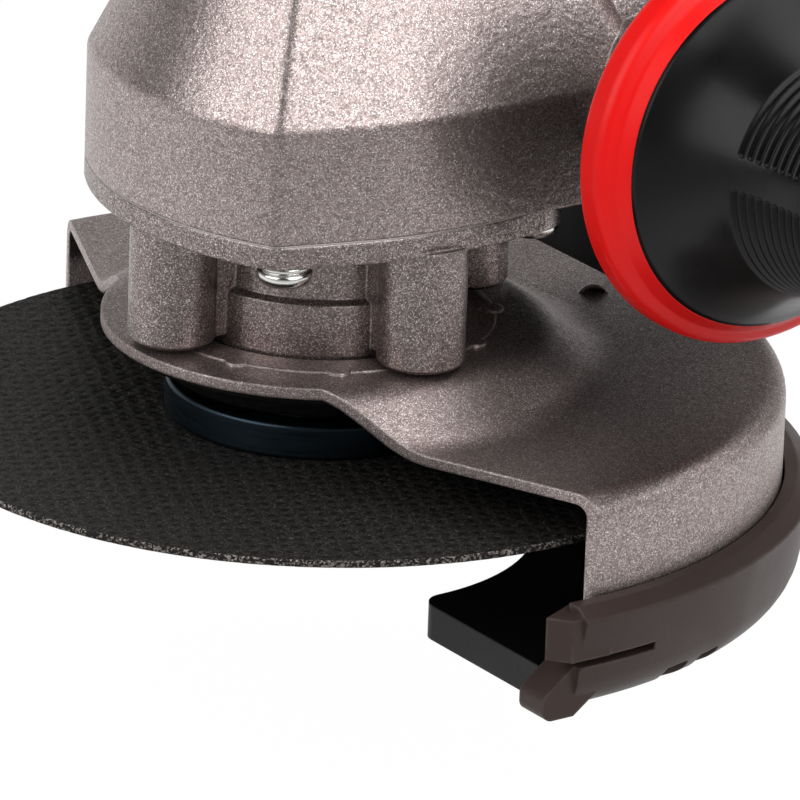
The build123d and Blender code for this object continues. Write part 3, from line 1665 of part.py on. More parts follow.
with BuildPart() as battery_cover:
    extrude(battery_section(split_x), amount=battery_depth - battery_split)
    fillet(battery_cover.faces().sort_by(Axis.X)[-1].edges(), battery_rear_round)
    extrude(
        battery_section(split_x, battery_wall),
        amount=battery_depth - battery_split - battery_wall,
        mode=Mode.SUBTRACT,
    )
keep(battery_cover, "battery_cover")

cell_x = battery_end_x - battery_wall - slide_gap - cell_r
with BuildPart() as battery_cells:
    for i in range(cell_count):
        z = battery_mid_z + (i - (cell_count - 1) / 2) * cell_pitch
        across(cell_x, z, cell_r, -cell_len / 2, cell_len / 2)
keep(battery_cells, "battery_cells")

board_x = cell_x - cell_r - slide_gap
with BuildPart() as battery_board:
    block(
        board_x - battery_board_t,
        board_x,
        -cell_len / 2,
        cell_len / 2,
        battery_mid_z - 2 * cell_pitch,
        battery_mid_z + 2 * cell_pitch,
    )
keep(battery_board, "battery_board")

with BuildPart() as battery_latch:
    block(
        latch_x,
        battery_x + latch_depth,
        -latch_half,
        latch_half,
        latch_mid_z - latch_h / 2,
        latch_mid_z + latch_h / 2,
    )
    fillet(battery_latch.faces().sort_by(Axis.X)[0].edges(), latch_round)
    block(
        dock_rear_x - hook_reach,
        battery_x + latch_depth,
        -hook_half,
        hook_half,
        dock_top_z - hook_h + slide_gap,
        latch_mid_z,
    )
keep(battery_latch, "battery_latch")
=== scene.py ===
# %% [markdown]
# # A cordless angle grinder, dressed for its picture
#
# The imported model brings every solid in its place: gear head, guard, disc, handle, casing, battery.
# This lesson gives those solids their finishes and adds what a solid model leaves out, such as the
# ribs of the rubber grip, the drive recesses of the screws and the rough rim of the disc.
# Lengths are metres, and every piece stays at the origin with its place in its mesh.

import json
import math

import bmesh
import bpy
from mathutils import Matrix, Vector, noise


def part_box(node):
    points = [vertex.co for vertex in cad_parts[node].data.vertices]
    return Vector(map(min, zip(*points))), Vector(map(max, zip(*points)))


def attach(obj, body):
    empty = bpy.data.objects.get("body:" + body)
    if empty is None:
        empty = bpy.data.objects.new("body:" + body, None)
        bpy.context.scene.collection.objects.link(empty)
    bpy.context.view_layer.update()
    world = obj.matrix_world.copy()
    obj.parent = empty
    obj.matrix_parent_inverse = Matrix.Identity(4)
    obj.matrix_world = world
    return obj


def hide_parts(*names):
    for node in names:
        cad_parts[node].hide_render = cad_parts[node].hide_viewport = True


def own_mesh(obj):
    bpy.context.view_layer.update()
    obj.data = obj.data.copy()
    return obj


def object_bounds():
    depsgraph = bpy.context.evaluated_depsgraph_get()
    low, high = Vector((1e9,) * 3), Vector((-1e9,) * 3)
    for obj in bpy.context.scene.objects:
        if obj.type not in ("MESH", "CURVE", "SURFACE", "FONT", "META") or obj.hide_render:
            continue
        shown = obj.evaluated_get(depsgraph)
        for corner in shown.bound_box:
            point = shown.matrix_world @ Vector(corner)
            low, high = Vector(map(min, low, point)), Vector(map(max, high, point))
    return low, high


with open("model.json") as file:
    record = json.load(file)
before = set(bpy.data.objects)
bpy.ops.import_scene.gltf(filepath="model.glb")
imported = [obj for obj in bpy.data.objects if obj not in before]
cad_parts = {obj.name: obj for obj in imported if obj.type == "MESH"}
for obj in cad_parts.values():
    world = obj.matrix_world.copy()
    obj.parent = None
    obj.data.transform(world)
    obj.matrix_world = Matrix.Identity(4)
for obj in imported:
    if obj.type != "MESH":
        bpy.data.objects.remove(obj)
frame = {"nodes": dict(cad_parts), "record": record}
cad_box = [list(corner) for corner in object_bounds()]
solids = frame["nodes"]
MM = 0.001
print(len(solids), "solids, box", [[round(v, 4) for v in corner] for corner in cad_box])

# %% [markdown]
# ## Camera
#
# A long lens was used: the disc's rim is almost a true ellipse, with little change from near to far.
# One could place the camera by eye and turn it until the picture fits. Here the disc's rim gave the
# numbers instead: its ellipse fixes the height of the view, and the lean of its long axis the roll.
# `across` and `away` are the picture's two level directions, seen from above the spindle.

# %% Camera
view_turn = math.radians(35)
across = Vector((math.cos(view_turn), -math.sin(view_turn), 0))
away = Vector((math.sin(view_turn), math.cos(view_turn), 0))
up = Vector((0, 0, 1))
view_height = math.radians(20.684)
view_distance = 1.4
pitch, yaw, roll = math.radians(20.628), math.radians(0.5035), math.radians(2.051)
disc_top = Vector((0, 0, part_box("cutting_disc")[1].z))


def placed(right, back, high):
    """A point or direction from the picture's own directions."""
    return across * right + away * back + up * high


eye = disc_top + view_distance * placed(0, -math.cos(view_height), math.sin(view_height))
gaze = placed(math.sin(yaw) * math.cos(pitch), math.cos(yaw) * math.cos(pitch), -math.sin(pitch))
level = gaze.cross(up).normalized()
rise = level.cross(gaze)
right = math.cos(roll) * level + math.sin(roll) * rise
top = math.cos(roll) * rise - math.sin(roll) * level

camera_data = bpy.data.cameras.new("camera")
camera_data.sensor_width = 36
camera_data.lens = 459.5
camera_data.clip_start = 0.1
camera_data.clip_end = 20
camera = bpy.data.objects.new("camera", camera_data)
camera.matrix_world = Matrix(
    (
        (right.x, top.x, -gaze.x, eye.x),
        (right.y, top.y, -gaze.y, eye.y),
        (right.z, top.z, -gaze.z, eye.z),
        (0, 0, 0, 1),
    )
)
bpy.context.collection.objects.link(camera)
bpy.context.scene.camera = camera
print("camera", view_distance, "m away, lens", camera_data.lens)

# %% [markdown]
# ## Building nodes in script
#
# A material is a tree of nodes. Written out, each node takes several lines: make it, set its values,
# link its inputs. `put` does all three from one dictionary, so that the trees below read like a recipe.
# A key is a property or an input of the node, and a value is a number, or the socket to link from.
# The other helpers are the steps that nearly every tree needs.


# %% Node helpers
def put(tree, kind, settings):
    """Adds a node. Each setting is a property, an input's value or a socket to link from."""
    made = tree.nodes.new(kind)
    for key, value in settings.items():
        if isinstance(key, str) and key not in made.inputs:
            setattr(made, key, value)
        elif isinstance(value, bpy.types.NodeSocket):
            tree.links.new(value, made.inputs[key])
        else:
            made.inputs[key].default_value = value
    return made


def feed(tree, node, sockets):
    """Links what was made into the named inputs of a node."""
    for name, socket in sockets.items():
        tree.links.new(socket, node.inputs[name])


def sums(tree, operation, *values):
    """One step of arithmetic."""
    return put(tree, "ShaderNodeMath", {"operation": operation} | dict(enumerate(values))).outputs[0]


def vectors(tree, operation, first, second=None):
    """One step of vector arithmetic. A dot product and a length come out as numbers."""
    settings = {"operation": operation, 0: first}
    if second is not None:
        settings["Scale" if operation == "SCALE" else 1] = second
    outputs = put(tree, "ShaderNodeVectorMath", settings).outputs
    return outputs["Value"] if operation in ("DOT_PRODUCT", "LENGTH") else outputs["Vector"]


def one_axis(tree, vector, axis):
    """One coordinate of a place or a direction."""
    return put(tree, "ShaderNodeSeparateXYZ", {"Vector": vector}).outputs[axis]


def ramp(tree, value, low, high, start=0.0, end=1.0):
    """Eases from start to end while the value goes from low to high."""
    settings = {"interpolation_type": "SMOOTHSTEP", 0: value, 1: low, 2: high, 3: start, 4: end}
    return put(tree, "ShaderNodeMapRange", settings).outputs[0]


def between(tree, mask, first, second):
    """A colour between two others, by a mask."""
    settings = {"data_type": "RGBA", 0: mask, 6: first, 7: second}
    return put(tree, "ShaderNodeMix", settings).outputs[2]


print("node helpers ready")

# %% [markdown]
# ## Floor
#
# The picture is a cut-out on white. A brighter lamp could wash the floor out, but it would wash the
# tool out too. So the floor glows white only where the camera looks at it, straight or in a mirror,
# and stays a plain grey for the lamps, which keeps the shadow. In reflections the white ends where such
# a table would, near the camera, and that dark edge gives the painted metal its shading. The clip-on
# cover comes off downwards, so the floor lies low enough to leave it room.

# %% Floor
scene = bpy.context.scene
scene.view_settings.view_transform = "Standard"
white = (1, 1, 1, 1)
floor_grey = (0.4, 0.4, 0.4, 1)
floor_size, floor_drop = 8, 30.5 * MM
table_fades, table_ends, table_dark = 0.1, 0.26, 0.15
glow_strength, glow_share = 1.06, 0.93


def seen(tree, mirrored=1.0):
    """A mask for what the camera sees straight or through glass, and a share of what metal mirrors."""
    rays = put(tree, "ShaderNodeLightPath", {}).outputs
    direct = sums(tree, "MAXIMUM", rays["Is Camera Ray"], rays["Is Transmission Ray"])
    return sums(tree, "MAXIMUM", direct, sums(tree, "MULTIPLY", rays["Is Glossy Ray"], mirrored))


bpy.ops.mesh.primitive_plane_add(size=floor_size, location=(0, 0, cad_box[0][2] - floor_drop))
floor = bpy.context.object
floor.name = "floor"
floor_paint = bpy.data.materials.new("white floor")
floor_paint.use_nodes = True
tree = floor_paint.node_tree
tree.nodes.clear()
here = put(tree, "ShaderNodeTexCoord", {}).outputs["Object"]
table = ramp(tree, vectors(tree, "DOT_PRODUCT", here, -away), table_fades, table_ends, 1.0, table_dark)
share = sums(tree, "MULTIPLY", seen(tree, table), glow_share)
matt = put(tree, "ShaderNodeBsdfDiffuse", {"Color": floor_grey}).outputs[0]
glow = put(tree, "ShaderNodeEmission", {"Color": white, "Strength": glow_strength}).outputs[0]
mixed = put(tree, "ShaderNodeMixShader", {0: share, 1: matt, 2: glow}).outputs[0]
put(tree, "ShaderNodeOutputMaterial", {"Surface": mixed})
floor.data.materials.append(floor_paint)
print("floor at", round(floor.location.z, 4))

# %% [markdown]
# ## The room round it
#
# The world is white low down, where the floor ends, and dim above, so the lamps make the light. Shiny
# paint shows its surroundings, and an empty room would leave it dead. A pale panel stands behind on the
# left and a card on the right, both only a matter of the direction that a ray goes.

# %% World
plain_level, panel_white, card_white = 0.05, 0.55, 0.9
panel_side, card_side = placed(-0.35, 0.94, 0), placed(0.8, 0.45, 0.4)
# Where each pale area fades, as a height or as how nearly a ray goes that way
horizon_fades, front_fades = (0.06, 0.02), (-0.4, 0.0)
panel_fades, panel_top, card_fades = (0.55, 0.8), (0.62, 0.45), (0.86, 0.96)

world = bpy.data.worlds.new("white studio")
scene.world = world
world.use_nodes = True
tree = world.node_tree
tree.nodes.clear()
heading = put(tree, "ShaderNodeTexCoord", {}).outputs["Generated"]
height = one_axis(tree, heading, "Z")
facing = vectors(tree, "DOT_PRODUCT", heading, away)
low_down = sums(tree, "MULTIPLY", ramp(tree, height, *horizon_fades), ramp(tree, facing, *front_fades))
behind = vectors(tree, "DOT_PRODUCT", heading, panel_side)
panel = sums(tree, "MULTIPLY", ramp(tree, behind, *panel_fades), ramp(tree, height, *panel_top))
card = ramp(tree, vectors(tree, "DOT_PRODUCT", heading, card_side), *card_fades)
pale = sums(tree, "MAXIMUM", low_down, sums(tree, "MULTIPLY", panel, panel_white))
pale = sums(tree, "MAXIMUM", pale, sums(tree, "MULTIPLY", card, card_white))
strength = ramp(tree, sums(tree, "MULTIPLY", seen(tree), pale), 0.0, 1.0, plain_level, 1.0)
sky = put(tree, "ShaderNodeBackground", {"Color": white, "Strength": strength}).outputs[0]
put(tree, "ShaderNodeOutputWorld", {"Surface": sky})
print("world", world.name)

# %% [markdown]
# ## Lamps
#
# Three soft boxes light the tool: right, left and overhead. A small lamp makes a hard, white spot in
# the paint. These are large, so the same light is spread over a wide face, and a mirrored box stays
# under white.


# %% Lamps
def softbox(name, spot, width, height, watts):
    """A lamp with a rectangular face, turned to the head."""
    lamp_data = bpy.data.lights.new(name, "AREA")
    lamp_data.shape = "RECTANGLE"
    lamp_data.size, lamp_data.size_y = width, height
    lamp_data.energy = watts
    lamp = bpy.data.objects.new(name, lamp_data)
    lamp.location = placed(*spot)
    lamp.rotation_euler = (-lamp.location).to_track_quat("-Z", "Y").to_euler()
    bpy.context.collection.objects.link(lamp)


softbox("right box", (1.05, -0.75, 0.95), 1.9, 1.3, 23)
softbox("left box", (-1.1, -0.74, 0.8), 1.5, 1.2, 15)
softbox("overhead box", (0.4, 0.25, 1.35), 1.3, 0.9, 9)
print("lamps:", [lamp.name for lamp in bpy.data.lights])

# %% [markdown]
# ## Effects that several finishes share
#
# Paint, plastic and steel all need grain, smudges and softened edges, each at its own scale. A node
# group is built once and placed in every material that needs it, with other values. A group hands
# out masks, heights, colours and normals, and the shader itself stays in the material.


# %% Starting an effect
def effect(name, inputs, outputs):
    """A new shader node group with named sockets: the group, what it is given and its output node."""
    group = bpy.data.node_groups.new(name, "ShaderNodeTree")
    for socket, start in inputs.items():
        kind = "NodeSocketVector" if start is None else "NodeSocketFloat"
        made = group.interface.new_socket(name=socket, in_out="INPUT", socket_type=kind)
        if start is not None:
            made.default_value = start
    for socket, kind in outputs.items():
        group.interface.new_socket(name=socket, in_out="OUTPUT", socket_type="NodeSocket" + kind)
    return group, group.nodes.new("NodeGroupInput").outputs, group.nodes.new("NodeGroupOutput")


def off_centre(tree, colour):
    """A random colour as a random step to any side."""
    return vectors(tree, "SUBTRACT", colour, (0.5, 0.5, 0.5))


print("effects start here")

# %% [markdown]
# Metal flakes lie in the paint like leaves, each nearly flat. Voronoi cells stand for them: every cell
# has its own random colour, which gives a shade and a small tilt. Finer cells give a rare glint.

# %% Metal flakes
shade_by_flake, shade_by_clump = 0.6, 0.4
flakes, given, out = effect(
    "Metal flakes",
    {"Vector": None, "Normal": None, "Per Metre": 3000.0, "Tilt": 0.3},
    {"Shade": "Float", "Glint": "Float", "Normal": "Vector"},
)
cells = put(flakes, "ShaderNodeTexVoronoi", {"Vector": given["Vector"], "Scale": given["Per Metre"]})
colour = cells.outputs["Color"]
chance = put(flakes, "ShaderNodeSeparateColor", {"Color": colour}).outputs[0]
loose = {"Vector": given["Vector"], "Scale": 900.0, "Detail": 2.0, "Roughness": 0.7}
clumps = sums(flakes, "MULTIPLY", put(flakes, "ShaderNodeTexNoise", loose).outputs[0], shade_by_clump)
shade = sums(flakes, "MULTIPLY_ADD", chance, shade_by_flake, clumps)
tiny = sums(flakes, "MULTIPLY", given["Per Metre"], 1.7)
specks = put(flakes, "ShaderNodeTexVoronoi", {"Vector": given["Vector"], "Scale": tiny})
luck = put(flakes, "ShaderNodeSeparateColor", {"Color": specks.outputs["Color"]}).outputs[0]
lean = vectors(flakes, "SCALE", off_centre(flakes, colour), given["Tilt"])
normal = vectors(flakes, "NORMALIZE", vectors(flakes, "ADD", lean, given["Normal"]))
feed(flakes, out, {"Shade": shade, "Glint": ramp(flakes, luck, 0.86, 0.93), "Normal": normal})
print("effect:", flakes.name)

# %% [markdown]
# Moulded grain is the fine pits that a spark-eroded mould leaves in plastic. Noise gives the pits, and
# a slow noise on top a mottle, for skin that was handled here and there.

# %% Moulded grain
grain, given, out = effect(
    "Moulded grain", {"Vector": None, "Per Metre": 2500.0}, {"Height": "Float", "Mottle": "Float"}
)
fine = {"Vector": given["Vector"], "Scale": given["Per Metre"], "Detail": 3.0, "Roughness": 0.6}
pits = put(grain, "ShaderNodeTexNoise", fine).outputs[0]
slow = {"Vector": given["Vector"], "Scale": 60.0, "Detail": 3.0}
patches = put(grain, "ShaderNodeTexNoise", slow).outputs[0]
feed(grain, out, {"Height": pits, "Mottle": ramp(grain, patches, 0.35, 0.7)})
print("effect:", grain.name)

# %% [markdown]
# Rubbed edges show where hands and benches touch. Painting them by hand would not follow a change of
# shape. Where a softened normal leaves the true one there is an edge, and noise breaks it into patches.

# %% Rubbed edges
rubbed, given, out = effect(
    "Rubbed edges", {"Vector": None, "Normal": None, "Soft Normal": None}, {"Edge": "Float"}
)
turn = vectors(rubbed, "DOT_PRODUCT", given["Normal"], given["Soft Normal"])
blotches = {"Vector": given["Vector"], "Scale": 350.0, "Detail": 4.0}
patchy = ramp(rubbed, put(rubbed, "ShaderNodeTexNoise", blotches).outputs[0], 0.3, 0.6)
feed(rubbed, out, {"Edge": sums(rubbed, "MULTIPLY", ramp(rubbed, turn, 0.995, 0.93), patchy)})
print("effect:", rubbed.name)

# %% [markdown]
# Tool marks are the fine rings that turning leaves round an axis: noise, stretched along two axes.

# %% Tool marks
stretch = (0.04, 0.04, 1.0)
marks, given, out = effect("Tool marks", {"Vector": None, "Per Metre": 4000.0}, {"Height": "Float"})
drawn = vectors(marks, "MULTIPLY", given["Vector"], stretch)
rings = put(marks, "ShaderNodeTexNoise", {"Vector": drawn, "Scale": given["Per Metre"], "Detail": 2.0})
feed(marks, out, {"Height": rings.outputs[0]})
print("effect:", marks.name)

# %% [markdown]
# ## A material to start from
#
# Every finish begins the same way: a Principled shader, the piece's own coordinates and a softened
# normal. The Bevel node rounds the edges in the light only, so a crisp solid edge catches a highlight
# as a real one with its small radius does. The mesh stays as it is.


# %% Starting a finish
def finish(name, colour, roughness, metallic=0.0, edge=0.3 * MM, plain=None):
    """A new material: its tree, its shader, its coordinates and its softened normal."""
    material = bpy.data.materials.new(name)
    material.use_nodes = True
    material.diffuse_color = colour
    tree = material.node_tree
    shader = tree.nodes["Principled BSDF"]
    settings = {"Base Color": colour, "Roughness": roughness, "Metallic": metallic} | (plain or {})
    for socket, value in settings.items():
        shader.inputs[socket].default_value = value
    here = put(tree, "ShaderNodeTexCoord", {}).outputs["Object"]
    soft = put(tree, "ShaderNodeBevel", {"samples": 4, "Radius": edge}).outputs[0]
    return material, tree, shader, here, soft


def use(tree, effect_tree, settings):
    """Places an effect in a material."""
    return put(tree, "ShaderNodeGroup", {"node_tree": effect_tree} | settings).outputs


def rubbed_mask(tree, here, soft):
    """Where the edges are rubbed."""
    sharp = put(tree, "ShaderNodeNewGeometry", {}).outputs["Normal"]
    return use(tree, rubbed, {"Vector": here, "Normal": sharp, "Soft Normal": soft})["Edge"]


def bumped(tree, height, depth, normal):
    """A normal with relief of that depth."""
    settings = {"Strength": 1.0, "Distance": depth, "Height": height, "Normal": normal}
    return put(tree, "ShaderNodeBump", settings).outputs[0]


def part_of(tree, mask, share):
    """A mask at a share of its strength."""
    return sums(tree, "MULTIPLY", mask, share)


def from_spindle(tree, here):
    """The distance from the spindle's axis."""
    return vectors(tree, "LENGTH", vectors(tree, "MULTIPLY", here, (1, 1, 0)))


def shaded(colour, factor, lift=0.0):
    """A lighter or darker tone of a colour."""
    return tuple(min(1.0, channel * factor + lift) for channel in colour[:3]) + (1,)


print("finishes start here")

# %% [markdown]
# ## Painted castings and the pressed guard
#
# The head and the guard carry the same warm grey paint with metal flakes in it. From a distance it is
# a satin grey, and close up it sparkles. A noise on the colour alone would look like dirt. Each flake
# here has its own shade and its own small tilt, so some of them catch the lamps. The cover's neck,
# below its plate, is painted black as shade.

# %% Flake paint
glint_white, worn_metal = (1.0, 0.94, 0.92, 1), (0.72, 0.68, 0.65, 1)
flakes_per_metre, flake_tilt, glint_share = 5000.0, 0.07, 0.75
waves_per_metre, worn_share, gloss_spread = 700.0, 0.3, 0.04
# Black painted on the neck as the shade under the cover's plate
neck_painted_shade = (0.012, 0.011, 0.011, 1)
neck_top, shade_fade_top = 25.2 * MM, 25.8 * MM


def flake_paint(name, dark, light, peel, gloss):
    """Paint whose flakes run from dark to light, with the waves of a sprayed coat."""
    material, tree, shader, here, soft = finish(name, light, 0.42, 0.95, 0.45 * MM)
    settings = {"Vector": here, "Normal": soft, "Per Metre": flakes_per_metre, "Tilt": flake_tilt}
    flake = use(tree, flakes, settings)
    colour = between(tree, ramp(tree, flake["Shade"], 0.15, 0.85), dark, light)
    # Rare flakes are painted near white as glints: a painted highlight in the paint's colour
    colour = between(tree, part_of(tree, flake["Glint"], glint_share), colour, glint_white)
    worn = part_of(tree, rubbed_mask(tree, here, soft), worn_share)
    colour = between(tree, worn, colour, worn_metal)
    waves = use(tree, grain, {"Vector": here, "Per Metre": waves_per_metre})["Height"]
    rough = ramp(tree, flake["Shade"], 0.0, 1.0, gloss + gloss_spread, gloss - gloss_spread)
    relief = bumped(tree, waves, peel, flake["Normal"])
    feed(tree, shader, {"Base Color": colour, "Roughness": rough, "Normal": relief})
    return material, tree, shader, here, colour


cast_paint = flake_paint(
    "cast paint", (0.22, 0.178, 0.17, 1), (0.445, 0.366, 0.35, 1), 0.10 * MM, 0.37
)[0]
guard_paint = flake_paint(
    "guard paint", (0.22, 0.177, 0.17, 1), (0.42, 0.343, 0.328, 1), 0.05 * MM, 0.45
)[0]
cover_paint, tree, shader, here, painted = flake_paint(
    "cover paint", (0.15, 0.121, 0.116, 1), (0.335, 0.275, 0.263, 1), 0.10 * MM, 0.37
)
# Below the neck's top the cover and the guard ring are painted black as shade under the plate
unshaded = ramp(tree, one_axis(tree, here, "Z"), neck_top, shade_fade_top)
feed(tree, shader, {"Base Color": between(tree, unshaded, neck_painted_shade, painted)})
print("paints:", cast_paint.name, guard_paint.name, cover_paint.name)

# %% [markdown]
# ## Moulded plastics and rubber
#
# Moulded pieces take the fine pitted skin of their mould. Its depth is a few hundredths of a
# millimetre, too small to model, so it is a bump. A slow change of roughness stands for handling.

# %% Plastics and rubber
mottle_share, handled_share, handled_gloss = 0.2, 0.5, 0.05


def moulded(
    name, colour, roughness, pits=0.03 * MM, per_metre=2500.0, plain=None, edge=0.35 * MM, worn=None
):
    """Plastic or rubber with the skin of its mould, and edges rubbed to a worn colour."""
    material, tree, shader, here, soft = finish(name, colour, roughness, 0.0, edge, plain)
    skin = use(tree, grain, {"Vector": here, "Per Metre": per_metre})
    lighter = shaded(colour, 1.3, 0.003)
    tone = between(tree, part_of(tree, skin["Mottle"], mottle_share), colour, lighter)
    handled = part_of(tree, rubbed_mask(tree, here, soft), handled_share)
    tone = between(tree, handled, tone, worn or lighter)
    rough = ramp(tree, skin["Mottle"], 0.0, 1.0, roughness + handled_gloss, roughness - handled_gloss)
    relief = bumped(tree, skin["Height"], pits, soft)
    feed(tree, shader, {"Base Color": tone, "Roughness": rough, "Normal": relief})
    return material, tree, shader, here, tone


grip_gloss = {"Specular IOR Level": 0.26}
black_plastic = moulded("black plastic", (0.008, 0.0075, 0.0075, 1), 0.5)[0]
switch_plastic = moulded("switch plastic", (0.11, 0.11, 0.115, 1), 0.55)[0]
grip_rubber = moulded("grip rubber", (0.003, 0.0027, 0.0031, 1), 0.3, 0.012 * MM, 1800.0, grip_gloss)[0]
pad_rubber = moulded("pad rubber", (0.013, 0.013, 0.0135, 1), 0.62, 0.05 * MM, 1500.0)[0]
switch_red = moulded("switch red", (0.75, 0.006, 0.004, 1), 0.4, 0.01 * MM, 1200.0)[0]
board_lacquer = moulded("board lacquer", (0.012, 0.11, 0.04, 1), 0.3, 0.01 * MM)[0]
cell_wrap = moulded("cell wrap", (0.05, 0.2, 0.36, 1), 0.28, 0.006 * MM)[0]
felt = moulded("felt", (0.32, 0.3, 0.28, 1), 0.95, 0.3 * MM, 3000.0, {"Sheen Weight": 0.4})[0]
print(len(bpy.data.materials), "materials so far")

# %% [markdown]
# ## Shells that meet in a seam
#
# The casing's two halves, and the battery's case and cover, meet in a fine dark line. The solids touch
# there without a gap. A groove a fifth of a millimetre wide would need a cut through every rounded
# edge, so the line is drawn by its distance from the joint, dark and sunk.

# %% Seams
seam_black = (0.004, 0.004, 0.004, 1)
seam_half, seam_fade, seam_depth = 0.1 * MM, 0.28 * MM, 0.3 * MM


def seamed(name, colour, roughness, axis, place):
    """Moulded plastic with a seam at a place along an axis."""
    material, tree, shader, here, tone = moulded(name, colour, roughness)
    off = sums(tree, "ABSOLUTE", sums(tree, "SUBTRACT", one_axis(tree, here, axis), place))
    seam = ramp(tree, off, seam_fade, seam_half)
    skin = shader.inputs["Normal"].links[0].from_socket
    relief = bumped(tree, seam, -seam_depth, skin)
    feed(tree, shader, {"Base Color": between(tree, seam, tone, seam_black), "Normal": relief})
    return material


battery_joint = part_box("battery_cover")[0].x
casing_plastic = seamed("casing plastic", (0.036, 0.035, 0.036, 1), 0.5, "Y", 0.0)
battery_plastic = seamed("battery plastic", (0.018, 0.018, 0.019, 1), 0.52, "X", battery_joint)
print("seams at Y 0 and X", round(battery_joint, 4))

# %% [markdown]
# ## The red collar and the clip-on cover
#
# The collar is red on its rim and front, and its back is painted black as shade. The flake paint beside
# it shows hardly any red, so in reflections the collar is painted dark: a painted reflection. The clip-on
# cover is a warm dark grey outside and black inside its wall, told apart by the distance from the
# spindle.

# %% Collar and clip-on cover
collar_back_shade, collar_dark_reflection = (0.012, 0.0115, 0.0115, 1), (0.03, 0.012, 0.01, 1)
collar_front, collar_back = -48.1 * MM, -47.8 * MM
collar_red, tree, shader, here, tone = moulded(
    "collar red", (0.92, 0.004, 0.003, 1), 0.36, 0.008 * MM, 1200.0, {"Specular IOR Level": 0.3}
)
# The collar's back is painted black as shade
behind = ramp(tree, one_axis(tree, here, "Y"), collar_front, collar_back)
tone = between(tree, behind, tone, collar_back_shade)
# Rays that the paint mirrors see the collar painted dark: a painted reflection
mirrored = part_of(tree, put(tree, "ShaderNodeLightPath", {}).outputs["Is Glossy Ray"], 0.85)
feed(tree, shader, {"Base Color": between(tree, mirrored, tone, collar_dark_reflection)})

clip_black, clip_worn = (0.004, 0.0037, 0.0037, 1), (0.19, 0.145, 0.135, 1)
clip_inside, clip_outside = 60.6 * MM, 61.0 * MM
clip_plastic, tree, shader, here, tone = moulded(
    "clip plastic",
    (0.052, 0.034, 0.03, 1),
    0.42,
    per_metre=1500.0,
    plain={"Specular IOR Level": 0.22},
    edge=0.5 * MM,
    worn=clip_worn,
)
outside = ramp(tree, from_spindle(tree, here), clip_inside, clip_outside)
feed(tree, shader, {"Base Color": between(tree, outside, clip_black, tone)})
print("two-coloured:", collar_red.name, clip_plastic.name)

# %% [markdown]
# ## Steels
#
# Turned steel shows fine rings round its axis, blackened steel a blue cast with bright edges where the
# black has worn off. A photograph of brushed metal would do, but rings by rule follow any size.


# %% Steel finishes
def steel(name, colour, roughness, depth=0.004 * MM, edge_colour=None):
    """Metal with tool marks, and with worn edges where a colour is given for them."""
    material, tree, shader, here, soft = finish(name, colour, roughness, 1.0, 0.25 * MM)
    mark = use(tree, marks, {"Vector": here})["Height"]
    skin = use(tree, grain, {"Vector": here, "Per Metre": 900.0})
    tone = between(tree, part_of(tree, skin["Mottle"], 0.6), colour, shaded(colour, 0.8))
    if edge_colour:
        tone = between(tree, rubbed_mask(tree, here, soft), tone, edge_colour)
    rough = ramp(tree, mark, 0.2, 0.8, roughness - 0.06, roughness + 0.08)
    relief = bumped(tree, mark, depth, soft)
    feed(tree, shader, {"Base Color": tone, "Roughness": rough, "Normal": relief})
    return material


blued = steel("blued flange", (0.04, 0.06, 0.078, 1), 0.36, 0.002 * MM, (0.3, 0.32, 0.34, 1))
black_zinc = steel("black zinc", (0.09, 0.09, 0.092, 1), 0.34, edge_colour=(0.35, 0.35, 0.35, 1))
bright_zinc = steel("bright zinc", (0.82, 0.81, 0.79, 1), 0.16)
bare_edge = steel("bare edge", (0.52, 0.47, 0.45, 1), 0.48)
ground_steel = steel("ground steel", (0.6, 0.59, 0.58, 1), 0.24)
turned_steel = steel("turned steel", (0.52, 0.51, 0.5, 1), 0.32)
gear_steel = steel("gear steel", (0.36, 0.355, 0.35, 1), 0.3)
spring_wire = steel("spring wire", (0.45, 0.45, 0.46, 1), 0.3)
hub_tin = steel("hub tin", (0.62, 0.6, 0.56, 1), 0.3)
contact_plate = steel("contact plate", (0.78, 0.66, 0.4, 1), 0.28)
magnet_nickel = steel("magnet nickel", (0.55, 0.54, 0.52, 1), 0.25)
print(len(bpy.data.materials), "materials so far")

# %% [markdown]
# ## The spindle's thread
#
# The clamp nut screws on the spindle's tip, and only a few turns show below it. The solid is plain
# there. The thread is a relief in the finish: a ridge that climbs by one pitch for each turn. It is
# too small a thing under the disc to need a mesh of its own.

# %% Spindle steel
spindle_pitch = 2.0 * MM
spindle_thread_start, spindle_thread_end = -3.0 * MM, 13.0 * MM
spindle_bright, spindle_root_shade = (0.5, 0.49, 0.48, 1), (0.16, 0.155, 0.15, 1)
spindle_steel, tree, shader, here, soft = finish("spindle steel", spindle_bright, 0.3, 1.0, 0.2 * MM)
bearing = sums(tree, "ARCTAN2", one_axis(tree, here, "Y"), one_axis(tree, here, "X"))
turn = sums(tree, "DIVIDE", bearing, 2 * math.pi)
along = one_axis(tree, here, "Z")
climb = sums(tree, "DIVIDE", along, spindle_pitch)
step = sums(tree, "FRACT", sums(tree, "ADD", climb, turn))
helix = sums(tree, "MULTIPLY", sums(tree, "ABSOLUTE", sums(tree, "SUBTRACT", step, 0.5)), 2.0)
starts = ramp(tree, along, spindle_thread_start, spindle_thread_start + spindle_pitch)
ends = ramp(tree, along, spindle_thread_end, spindle_thread_end - spindle_pitch)
cut = sums(tree, "MULTIPLY", starts, ends)
